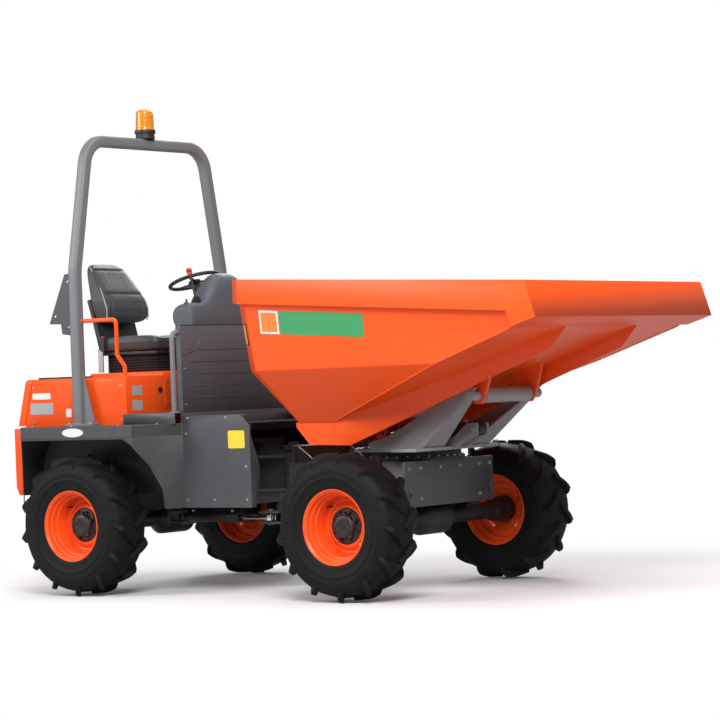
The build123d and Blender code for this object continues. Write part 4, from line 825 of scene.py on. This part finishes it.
# ---------------------------------------------------------------- dash console
# One moulding in grey plastic: low rounded shoulders that rise into a hump for
# the steering column. It carries a blank gauge, rocker switches and a key.
SHOULDER = [  # side view of the shoulders, from the pivot: front foot, back, top, front
    (-0.405, 1.425), (-0.470, 1.515), (-0.530, 1.585), (-0.560, 1.630), (-0.566, 1.690), (-0.532, 1.730),
    (-0.480, 1.7375),
    (-0.430, 1.7375), (-0.400, 1.726), (-0.385, 1.680), (-0.367, 1.604)]
HUMP = [  # the same points at the middle of the machine
    (-0.405, 1.425), (-0.490, 1.530), (-0.600, 1.640), (-0.658, 1.705), (-0.662, 1.775), (-0.613, 1.865),
    (-0.555, 1.924),
    (-0.488, 1.928), (-0.437, 1.868), (-0.402, 1.745), (-0.367, 1.604)]
STATIONS, HUMP_HALF, FLARE_END, DASH_HALF, END_R = 60, 0.050, 0.335, 0.450, 0.060
CORE_X, CORE_Z, END_SHRINK = -0.420, 1.600, 0.30   # the rounded ends draw in towards this line
black_card = plate_finish("black_plate", "black_plastic", (0.012, 0.012, 0.012), (0.07, 0.065, 0.06), 0.15)
points = []
for i in range(STATIONS + 1):
    share = 2 * i / STATIONS - 1
    y = DASH_HALF * (sin(pi / 2 * share) if i % STATIONS else share)
    flare = min(1, max(0, (FLARE_END - abs(y)) / (FLARE_END - HUMP_HALF)))
    rise = flare * flare * (3 - 2 * flare)
    into_end = max(0, abs(y) - DASH_HALF + END_R) / END_R
    shrink = 1 - END_SHRINK * (1 - sqrt(max(0, 1 - into_end ** 2)))
    for (sx, sz), (hx, hz) in zip(SHOULDER, HUMP):
        x, z = sx + (hx - sx) * rise, sz + (hz - sz) * rise
        points.append((PIVOT_X + CORE_X + (x - CORE_X) * shrink, y, CORE_Z + (z - CORE_Z) * shrink))
ring = len(SHOULDER)
faces = [(i * ring + j, i * ring + (j + 1) % ring, (i + 1) * ring + (j + 1) % ring, (i + 1) * ring + j)
         for i in range(STATIONS) for j in range(ring)]
faces += [tuple(range(ring)), tuple(range(STATIONS * ring, (STATIONS + 1) * ring))]
dash = mesh_from("dash_moulding", points, faces)
rounding = dash.modifiers.new("rounded_form", "SUBSURF")
rounding.levels = rounding.render_levels = 2
dress(dash, cover_plastic, "rear", 0, 180)
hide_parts("dash_console")
block("dash_seam", "rear", (cowl_low.x + 0.002, -0.575, 1.597), (cowl_high.x - 0.001, 0.575, 1.6045),
      black_rubber, 0.001)
gauge_turn = Vector((-0.74, 0, 0.67)).to_track_quat("Y", "Z").to_matrix().to_4x4()
gauge_spot = Vector((PIVOT_X - 0.590, 0, 1.884))
for label, profile, finish in (
        ("bezel", [(0.030, -0.004), (0.034, 0.000), (0.034, 0.006), (0.031, 0.008), (0.028, 0.006),
                   (0.027, 0.003)], chrome),
        ("face", [(0, 0.004), (0.0275, 0.004), (0.0275, -0.004)], black_card),
        ("needle_cap", [(0, 0.0075), (0.003, 0.0075), (0.004, 0.004)], plated)):
    piece = turned("gauge_" + label, profile, 40)
    piece.matrix_world = Matrix.Translation(gauge_spot) @ gauge_turn
    dress(piece, finish, "rear")
for k, y in enumerate((0.335, 0.368, 0.401)):
    block(f"switch_frame_{k}", "rear", (PIVOT_X - 0.500, y - 0.013, 1.733),
          (PIVOT_X - 0.455, y + 0.013, 1.7405), black_plastic)
    block(f"switch_rocker_{k}", "rear", (PIVOT_X - 0.495, y - 0.0095, 1.738),
          (PIVOT_X - 0.460, y + 0.0095, 1.7445), black_card,
          0.003)
key = joined("ignition_key", [prism(28, 0, 0, [(0.017, -0.004), (0.017, 0.003), (0.015, 0.005)]),
                              prism(4, 0, 0, [(0.010, 0.004), (0.0075, 0.026)])])
key.matrix_world = Matrix.Translation((PIVOT_X - 0.478, -0.385, 1.737)) @ Matrix.Rotation(pi / 2, 4, "X")
dress(key, black_plastic, "rear", 0.0008)

# ---------------------------------------------------------------- steering wheel
# A black moulded rim on three spokes with a round horn cap, leaned back on its
# column towards the driver; a ribbed boot closes the foot of the column.
turn_joint = joints["steering_wheel_turn"]
tilt = Vector(turn_joint["axis"]).to_track_quat("Y", "Z")
on_column = Matrix.Translation(turn_joint["pos_m"]) @ tilt.to_matrix().to_4x4()
RING_R, GRIP_R = 0.155, 0.012
wheel_rim = turned("steering_rim", [(RING_R + GRIP_R * cos(a), GRIP_R * sin(a)) for a in round_angles(16)],
                   96, closed=True)
for vertex in wheel_rim.data.vertices:   # finger grips on the underside
    x, y, z = vertex.co
    if y < -0.002:
        vertex.co.y = y * (0.93 + 0.07 * cos(36 * atan2(x, z)))
cap = turned("horn_cap",
             [(0, -0.022), (0.030, -0.022), (0.037, -0.014), (0.038, -0.002), (0.035, 0.0015), (0.030, 0.002),
              (0.028, 0.0005), (0.026, 0.0035), (0, 0.0040)], 48)
SPOKE = [(0.020, -0.012), (0.050, -0.011), (0.100, -0.006), (0.148, -0.001)]   # radius and height along it
SPOKE_SECTION = [(-0.0035, -0.013), (0.0035, -0.013), (0.0045, 0), (0.0035, 0.013), (-0.0035, 0.013),
                 (-0.0045, 0)]
SPOKE_SIZES = [1.15, 1.05, 0.85, 0.8]
spokes = joined("steering_spokes", [
    swept([Vector((cos(t) * r, y, sin(t) * r)) for r, y in SPOKE], SPOKE_SECTION, Vector((0, 1, 0)),
          SPOKE_SIZES)
    for t in (radians(30), radians(150), radians(270))])
for piece in (wheel_rim, cap, spokes):
    piece.matrix_world = on_column
    dress(piece, black_plastic, "steering_wheel", 0.0012 if piece is spokes else 0, 45)
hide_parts("steering_wheel")
column = turned("steering_column",
                [(0.0, -0.024), (0.018, -0.024), (0.020, -0.030), (0.022, -0.060), (0.022, -0.100),
                 (0.030, -0.110), (0.026, -0.120), (0.036, -0.130), (0.031, -0.142), (0.043, -0.154),
                 (0.038, -0.166), (0.050, -0.178), (0.050, -0.200)], 40)
column.matrix_world = on_column
dress(column, black_rubber, "rear", 0, 60)

# ---------------------------------------------------------------- lever and pedals
# A cranked steel lever with a red knob in a ribbed rubber boot, and two pedals
# with rubber treads hung from the back of the cowl.
coat_solid("controls", black_paint, 0.0015)
red_plastic = finish_of("red_plastic", "orange_paint", (0.55, 0.018, 0.012), (0.3, 0.1, 0.08), 0.35, 0.1, 900,
                        0.0002)
lever_foot, lever_top = Vector((PIVOT_X - 0.470, -0.300, 1.748)), Vector((PIVOT_X - 0.602, -0.200, 1.938))
lever_turn = (lever_top - lever_foot).to_track_quat("Y", "Z").to_matrix().to_4x4()
knob = turned("lever_knob",
              [(0, -0.030), (0.009, -0.030), (0.0125, -0.022), (0.0175, 0.004), (0.0180, 0.012),
               (0.0150, 0.0185), (0.0080, 0.0205), (0, 0.0210)], 32)
knob.matrix_world = Matrix.Translation(lever_top) @ lever_turn
dress(knob, red_plastic, "rear")
boot = turned("lever_boot",
              [(0.036, -0.012), (0.036, -0.004), (0.029, 0.000), (0.032, 0.006), (0.024, 0.011),
               (0.027, 0.017), (0.018, 0.022), (0.021, 0.028), (0.012, 0.033), (0.0075, 0.040)], 32)
boot.matrix_world = Matrix.Translation(lever_foot) @ Matrix.Rotation(pi / 2, 4, "X")
dress(boot, black_rubber, "rear", 0, 60)
treads = []
TREADS = 5
for pedal_y in (-0.190, 0.110):
    for k in range(TREADS):
        along = (k + 0.5) / TREADS
        middle = Vector((cowl_low.x - 0.060, 0, 1.130)).lerp(Vector((cowl_low.x - 0.090, 0, 1.205)), along)
        treads.append(swept([middle + Vector((-0.003, y, -0.001))
                             for y in (pedal_y + 0.006, pedal_y + 0.074)],
                            circle(0.0045, 10), Vector((1, 0, 0))))
dress(joined("pedal_treads", treads), black_rubber, "rear", 0, 50)

# ---------------------------------------------------------------- seat
# A suspension seat in black vinyl over foam, on a pleated rubber bellows. Sewn
# seams divide the cushion into a middle panel and bolsters, and cross the
# tapered backrest round a stitched blank patch; pale piping trims its edges.
coat_solid("seat_base", black_plastic, 0.004)
vinyl = finish_of("seat_vinyl", "seat_vinyl", (0.030, 0.031, 0.034), (0.075, 0.072, 0.068), 0.46, 0.12, 380,
                  0.0010, Sheen_Weight=0.12)
piping = finish_of("seat_piping", "seat_vinyl", (0.40, 0.40, 0.40), (0.25, 0.24, 0.22), 0.5, 0.2, 600, 0.0002)
base_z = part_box("seat_base")[0].z
cushion_low, cushion_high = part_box("seat_cushion")
cushion_mid, cushion_half = (cushion_low + cushion_high) / 2, (cushion_high - cushion_low) / 2


PAD_CUTS = 56


def superblock(name, power, shape_of):
    """A block with rounded sides; shape_of places each of its points, given in the range -1 to 1."""
    shape = bmesh.new()
    bmesh.ops.create_cube(shape, size=2)
    bmesh.ops.subdivide_edges(shape, edges=shape.edges, cuts=PAD_CUTS, use_grid_fill=True)
    for vertex in shape.verts:
        size = sum(abs(part) ** power for part in vertex.co) ** (1 / power)
        vertex.co = shape_of(*(vertex.co / size))
    mesh = bpy.data.meshes.new(name)
    shape.to_mesh(mesh)
    shape.free()
    return new_object(name, mesh)


def groove(offset, width):
    """Depth of a sewn seam, 1 along its line and 0 away from it."""
    return exp(-(offset / width) ** 2)


BOLSTER, CHANNELS = 0.64, (-0.42, 0.0, 0.42)   # share of the half width, and of the half length


def cushion_point(u, v, w):
    """Point of the cushion: u runs forward, v across and w up."""
    x, y, z = cushion_half.x * u, cushion_half.y * v, cushion_half.z * w
    if w > 0:
        middle = 1 / (1 + exp((abs(v) - BOLSTER) * 40))
        puff = 0.030 * (1 - 0.55 * middle) * (1 - u ** 4) + 0.006 * middle * (1 - u * u)
        sewn = 0.010 * groove(abs(v) - BOLSTER, 0.035) * (1 - abs(u) ** 8)
        sewn += 0.008 * middle * sum(groove(u - at, 0.032) for at in CHANNELS)
        z += w ** 2 * (puff - 0.030 - sewn + 0.012 * max(0, u) ** 2 - 0.012)
    z = min(z, cushion_half.z)
    return cushion_mid + Vector((x * (1 - 0.03 * abs(w)), y * (1 - 0.03 * abs(w)), z))


cushion = superblock("seat_cushion_cover", 7, cushion_point)
dress(cushion, vinyl, "rear", 0, 180)
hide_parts("seat_cushion")

BACK_FRONT = [  # height and front face of the backrest, from the pivot
    (1.652, -1.298), (1.690, -1.268), (1.745, -1.270), (1.800, -1.292), (1.860, -1.328), (1.930, -1.382),
    (2.006, -1.438), (2.030, -1.470)]
BACK_LOW, BACK_HIGH = BACK_FRONT[0][0], BACK_FRONT[-1][0]
UPPER_SEAM, LOWER_SEAM, SIDE_SEAM = 1.990, 1.835, 0.150


def back_face(z):
    """Front and rear face of the backrest at a height, and its half width."""
    z = min(max(z, BACK_LOW), BACK_HIGH)
    for (z0, x0), (z1, x1) in zip(BACK_FRONT, BACK_FRONT[1:]):
        if z <= z1:
            front = x0 + (x1 - x0) * (z - z0) / (z1 - z0)
            break
    rear = -1.392 - 0.116 * (z - BACK_LOW) / (BACK_HIGH - BACK_LOW)
    half = 0.206 - 0.056 * max(0, min(1, (z - 1.790) / 0.250))
    return front, rear, half


def back_point(u, v, w):
    """Point of the backrest: u runs across, v up and w forward."""
    z = (BACK_LOW + BACK_HIGH) / 2 + (BACK_HIGH - BACK_LOW) / 2 * v
    front, rear, half = back_face(z)
    sewn = 0.0
    if w > 0:
        inner = 1 - abs(u) ** 8
        sewn = 0.007 * (groove((z - UPPER_SEAM) / 0.006, 1) + groove((z - LOWER_SEAM) / 0.006, 1)) * inner
        sewn += 0.009 * groove((abs(u) * half - SIDE_SEAM) / 0.007, 1) * (1 - abs(v) ** 10) * (z < LOWER_SEAM)
        sewn += 0.006 * (1 - inner)
    depth = (rear + front) / 2 + (front - rear) / 2 * w - sewn * w
    return Vector((PIVOT_X + depth, half * u, z))


backrest = superblock("seat_back_cover", 6, back_point)
dress(backrest, vinyl, "rear", 0, 180)
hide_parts("seat_back")
PATCH_LOW, PATCH_HIGH, PATCH_HALF, STITCH_PITCH = 1.880, 1.970, 0.085, 0.009
stitch_lines = []
for start, end in (((-PATCH_HALF, PATCH_LOW), (PATCH_HALF, PATCH_LOW)),
                   ((-PATCH_HALF, PATCH_HIGH), (PATCH_HALF, PATCH_HIGH)),
                   ((-PATCH_HALF, PATCH_LOW), (-PATCH_HALF, PATCH_HIGH)),
                   ((PATCH_HALF, PATCH_LOW), (PATCH_HALF, PATCH_HIGH))):
    steps = round(hypot(end[0] - start[0], end[1] - start[1]) / STITCH_PITCH)
    for k in range(steps):
        ends = []
        for share in ((k + 0.15) / steps, (k + 0.75) / steps):
            y, z = start[0] + (end[0] - start[0]) * share, start[1] + (end[1] - start[1]) * share
            ends.append(Vector((PIVOT_X + back_face(z)[0] + 0.0002, y, z)))
        stitch_lines.append(swept(ends, circle(0.0011, 6), Vector((1, 0, 0.3))))
dress(joined("backrest_stitches", stitch_lines), piping, "rear", 0, 60)
WELT_LOW, WELT_HIGH, WELT_STEPS = 1.668, 2.012, 32
for hand, side in SIDES:
    welt = []
    for k in range(WELT_STEPS + 1):
        z = WELT_LOW + (WELT_HIGH - WELT_LOW) * k / WELT_STEPS
        front, rear, half = back_face(z)
        welt.append(Vector((PIVOT_X + front - 0.021, side * (half - 0.0085), z)))
    tube(f"backrest_piping_{hand}", "rear", welt, 0.0032, 8, (1, 0, 0.3), piping, 60)

PLEATS, PLEAT_DEPTH, BELLOWS_TALL = 6, 0.009, 0.100
BELLOWS_MID_X, BELLOWS_X, BELLOWS_Y, BELLOWS_R, ARC_POINTS = PIVOT_X - 1.100, 0.214, 0.204, 0.035, 6
RING_POINTS = 4 * ARC_POINTS
points = []
for k in range(4 * PLEATS + 1):
    fold = PLEAT_DEPTH * (0.5 + 0.5 * cos(2 * pi * k / 4)) + BELLOWS_R
    z = base_z + 0.004 + BELLOWS_TALL * k / (4 * PLEATS)
    for corner, (sx, sy) in enumerate(((1, 1), (-1, 1), (-1, -1), (1, -1))):
        for step in range(ARC_POINTS):
            a = pi / 2 * (corner + step / (ARC_POINTS - 1))
            points.append((BELLOWS_MID_X + sx * (BELLOWS_X - fold) + BELLOWS_R * cos(a),
                           sy * (BELLOWS_Y - fold) + BELLOWS_R * sin(a), z))
faces = [(k * RING_POINTS + j, k * RING_POINTS + (j + 1) % RING_POINTS,
          (k + 1) * RING_POINTS + (j + 1) % RING_POINTS, (k + 1) * RING_POINTS + j)
         for k in range(4 * PLEATS) for j in range(RING_POINTS)]
dress(mesh_from("seat_bellows", points, faces), black_rubber, "rear", 0, 70)
block("belt_buckle", "rear", (PIVOT_X - 1.300, -0.262, 1.470), (PIVOT_X - 1.268, -0.242, 1.560),
      black_plastic, 0.004)
block("belt_button", "rear", (PIVOT_X - 1.296, -0.260, 1.556), (PIVOT_X - 1.272, -0.244, 1.565), red_plastic,
      0.0015)
block("belt_reel", "rear", (PIVOT_X - 1.330, 0.242, 1.462), (PIVOT_X - 1.245, 0.292, 1.535), black_plastic,
      0.006)
for hand, y in (("left", 0.267), ("right", -0.252)):
    block(f"belt_bracket_{hand}", "rear", (PIVOT_X - 1.325, y - 0.004, 1.340),
          (PIVOT_X - 1.285, y + 0.004, 1.480), plated, 0.001)
block("seat_handle", "rear", (PIVOT_X - 0.925, -0.130, 1.452), (PIVOT_X - 0.846, -0.105, 1.464),
      black_plastic, 0.005)

# ---------------------------------------------------------------- roll-over hoop
# A hoop of 70 mm square tube with rounded edges, painted mid grey, bent in the
# legs and top corners. Its foot plates are welded on, gusseted and bolted down.
hoop_low, hoop_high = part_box("rops_hoop")
HOOP_X, LEG_Y, KNEE_Z = PIVOT_X - 1.090, 0.700, 1.960
TUBE_W, TUBE_R, LEG_LEAN, KNEE_BEND, TOP_BEND = 0.070, 0.020, radians(10.5), 0.400, 0.170
foot_z, top_z = hoop_low.z + 0.014, hoop_high.z - TUBE_W / 2
top_y = LEG_Y - (top_z - KNEE_Z) * tan(LEG_LEAN)
corner_arc = [(TUBE_W / 2 - TUBE_R + TUBE_R * cos(a), TUBE_W / 2 - TUBE_R + TUBE_R * sin(a))
              for a in (radians(15 * k) for k in range(7))]
square_tube = [(u * cos(q) - v * sin(q), u * sin(q) + v * cos(q))
               for q in (0, pi / 2, pi, 3 * pi / 2) for u, v in corner_arc]
hoop_line = rounded_path([(HOOP_X, -LEG_Y, foot_z), (HOOP_X, -LEG_Y, KNEE_Z), (HOOP_X, -top_y, top_z),
                          (HOOP_X, top_y, top_z), (HOOP_X, LEG_Y, KNEE_Z), (HOOP_X, LEG_Y, foot_z)],
                         [KNEE_BEND, TOP_BEND, TOP_BEND, KNEE_BEND])
hoop = dress(joined("rops_hoop_tube", [swept(hoop_line, square_tube, Vector((1, 0, 0)))]), mid_grey, "rear",
             0, 30)
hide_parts("rops_hoop")
for hand, side in SIDES:
    y = side * LEG_Y
    block(f"hoop_foot_{hand}", "rear", (HOOP_X - 0.090, y - 0.040, foot_z - 0.014),
          (HOOP_X + 0.130, y + 0.040, foot_z), mid_grey)
    hex_bolts(f"hoop_foot_bolts_{hand}", "rear", (0, 0, 1),
              [(HOOP_X + dx, y + dy, foot_z) for dx in (-0.062, 0.108) for dy in (-0.026, 0.026)], 0.0125,
              plated)
    weld_beads(f"hoop_foot_welds_{hand}", "rear",
               [((HOOP_X - 0.035, y + edge * 0.035, foot_z), (HOOP_X + 0.035, y + edge * 0.035, foot_z))
                for edge in (-1, 1)]
               + [((HOOP_X - 0.035, y - 0.035, foot_z), (HOOP_X - 0.035, y + 0.035, foot_z))], 0.005,
               mid_grey)
    card(f"hoop_gusset_{hand}", "rear",
         [(HOOP_X + 0.030, y, foot_z), (HOOP_X + 0.118, y, foot_z), (HOOP_X + 0.116, y, foot_z + 0.03),
          (HOOP_X + 0.034, y, foot_z + 0.316)], mid_grey, 0.010)
    card(f"lamp_bracket_{hand}", "rear", [(HOOP_X + x, y, z) for x, z in (
        (-0.030, 1.950), (-0.086, 1.946), (-0.222, 1.646), (-0.128, 1.642), (-0.118, 1.580),
        (-0.030, 1.568))], dark_grey, 0.006)
    hex_bolts(f"lamp_bracket_bolts_{hand}", "rear", (0, side, 0),
              [(HOOP_X + x, y + side * 0.003, z) for x, z in
               ((-0.058, 1.90), (-0.058, 1.62), (-0.165, 1.69))], 0.009, plated)

# ---------------------------------------------------------------- beacon
# An amber polycarbonate dome with moulded rings over a rotating lamp, clamped
# to a black plastic foot on top of the hoop.
coat_solid("beacon_base", black_plastic, 0.002)
lens_low, lens_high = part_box("beacon_lens")
lens_h, lens_r = lens_high.z - lens_low.z, (lens_high.x - lens_low.x) / 2
rings = [(lens_r * (0.985 - 0.055 * k / 20) - 0.0016 * (k % 2), 0.012 + (lens_h - 0.036) * k / 20)
         for k in range(21)]
dome = turned("beacon_dome", [(lens_r, 0), (lens_r, 0.008), (lens_r * 0.99, 0.011)] + rings + [
    (lens_r * 0.88, lens_h - 0.016), (lens_r * 0.76, lens_h - 0.006), (lens_r * 0.50, lens_h - 0.001),
    (0, lens_h)], 64)
lamp = turned("beacon_lamp",
              [(0, 0.020), (0.012, 0.020), (0.014, 0.045), (0.030, 0.050), (0.034, 0.085), (0.028, 0.088),
               (0.014, 0.060), (0, 0.058)], 32)
for piece, finish in ((dome, amber), (lamp, chrome)):
    piece.matrix_world = Matrix.Translation(((lens_low.x + lens_high.x) / 2, 0,
                                             lens_low.z)) @ Matrix.Rotation(pi / 2, 4, "X")
    dress(piece, finish, "rear", 0, 40)
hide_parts("beacon_lens")

# ---------------------------------------------------------------- hand rails
# Bent round tube: orange grab rails from the hoop to the housing, and grey
# rails from the footwell floor to the cowl, each on small bolted flanges.
RAILS = [  # name, node, finish, radius, bend, corners for the left side
    ("grab_rail", "grab_rails", orange, 0.013, 0.028,
     [(HOOP_X + 0.035, 0.684, 1.655), (PIVOT_X - 0.960, 0.684, 1.655), (PIVOT_X - 0.792, 0.675, 1.655),
      (PIVOT_X - 0.825, 0.640, 1.440), (PIVOT_X - 0.790, 0.612, 1.370), (PIVOT_X - 0.790, 0.612, 1.310)]),
    ("hand_rail", "handrails", mid_grey, 0.016, 0.040,
     [(PIVOT_X - 0.387, 0.640, 1.080), (PIVOT_X - 0.387, 0.640, 1.560), (PIVOT_X - 0.387, 0.590, 1.560)]),
]
for name, node, finish, radius, bend, corners in RAILS:
    for hand, side in SIDES:
        line = rounded_path([(x, side * y, z) for x, y, z in corners], [bend] * (len(corners) - 2),
                            radians(9))
        rail = tube(f"{name}_{hand}", "rear", line, radius, 20, (1, 0, 0.001), finish, 40)
        foot = line[0 if name == "hand_rail" else -1]
        block(f"{name}_flange_{hand}", "rear", (foot.x - 0.034, foot.y - 0.022, foot.z),
              (foot.x + 0.034, foot.y + 0.022, foot.z + 0.005), finish, 0.001)
        hex_bolts(f"{name}_bolts_{hand}", "rear", (0, 0, 1),
                  [(foot.x + dx, foot.y, foot.z + 0.005) for dx in (-0.025, 0.025)], 0.006, plated)
        if side > 0:
            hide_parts(node)
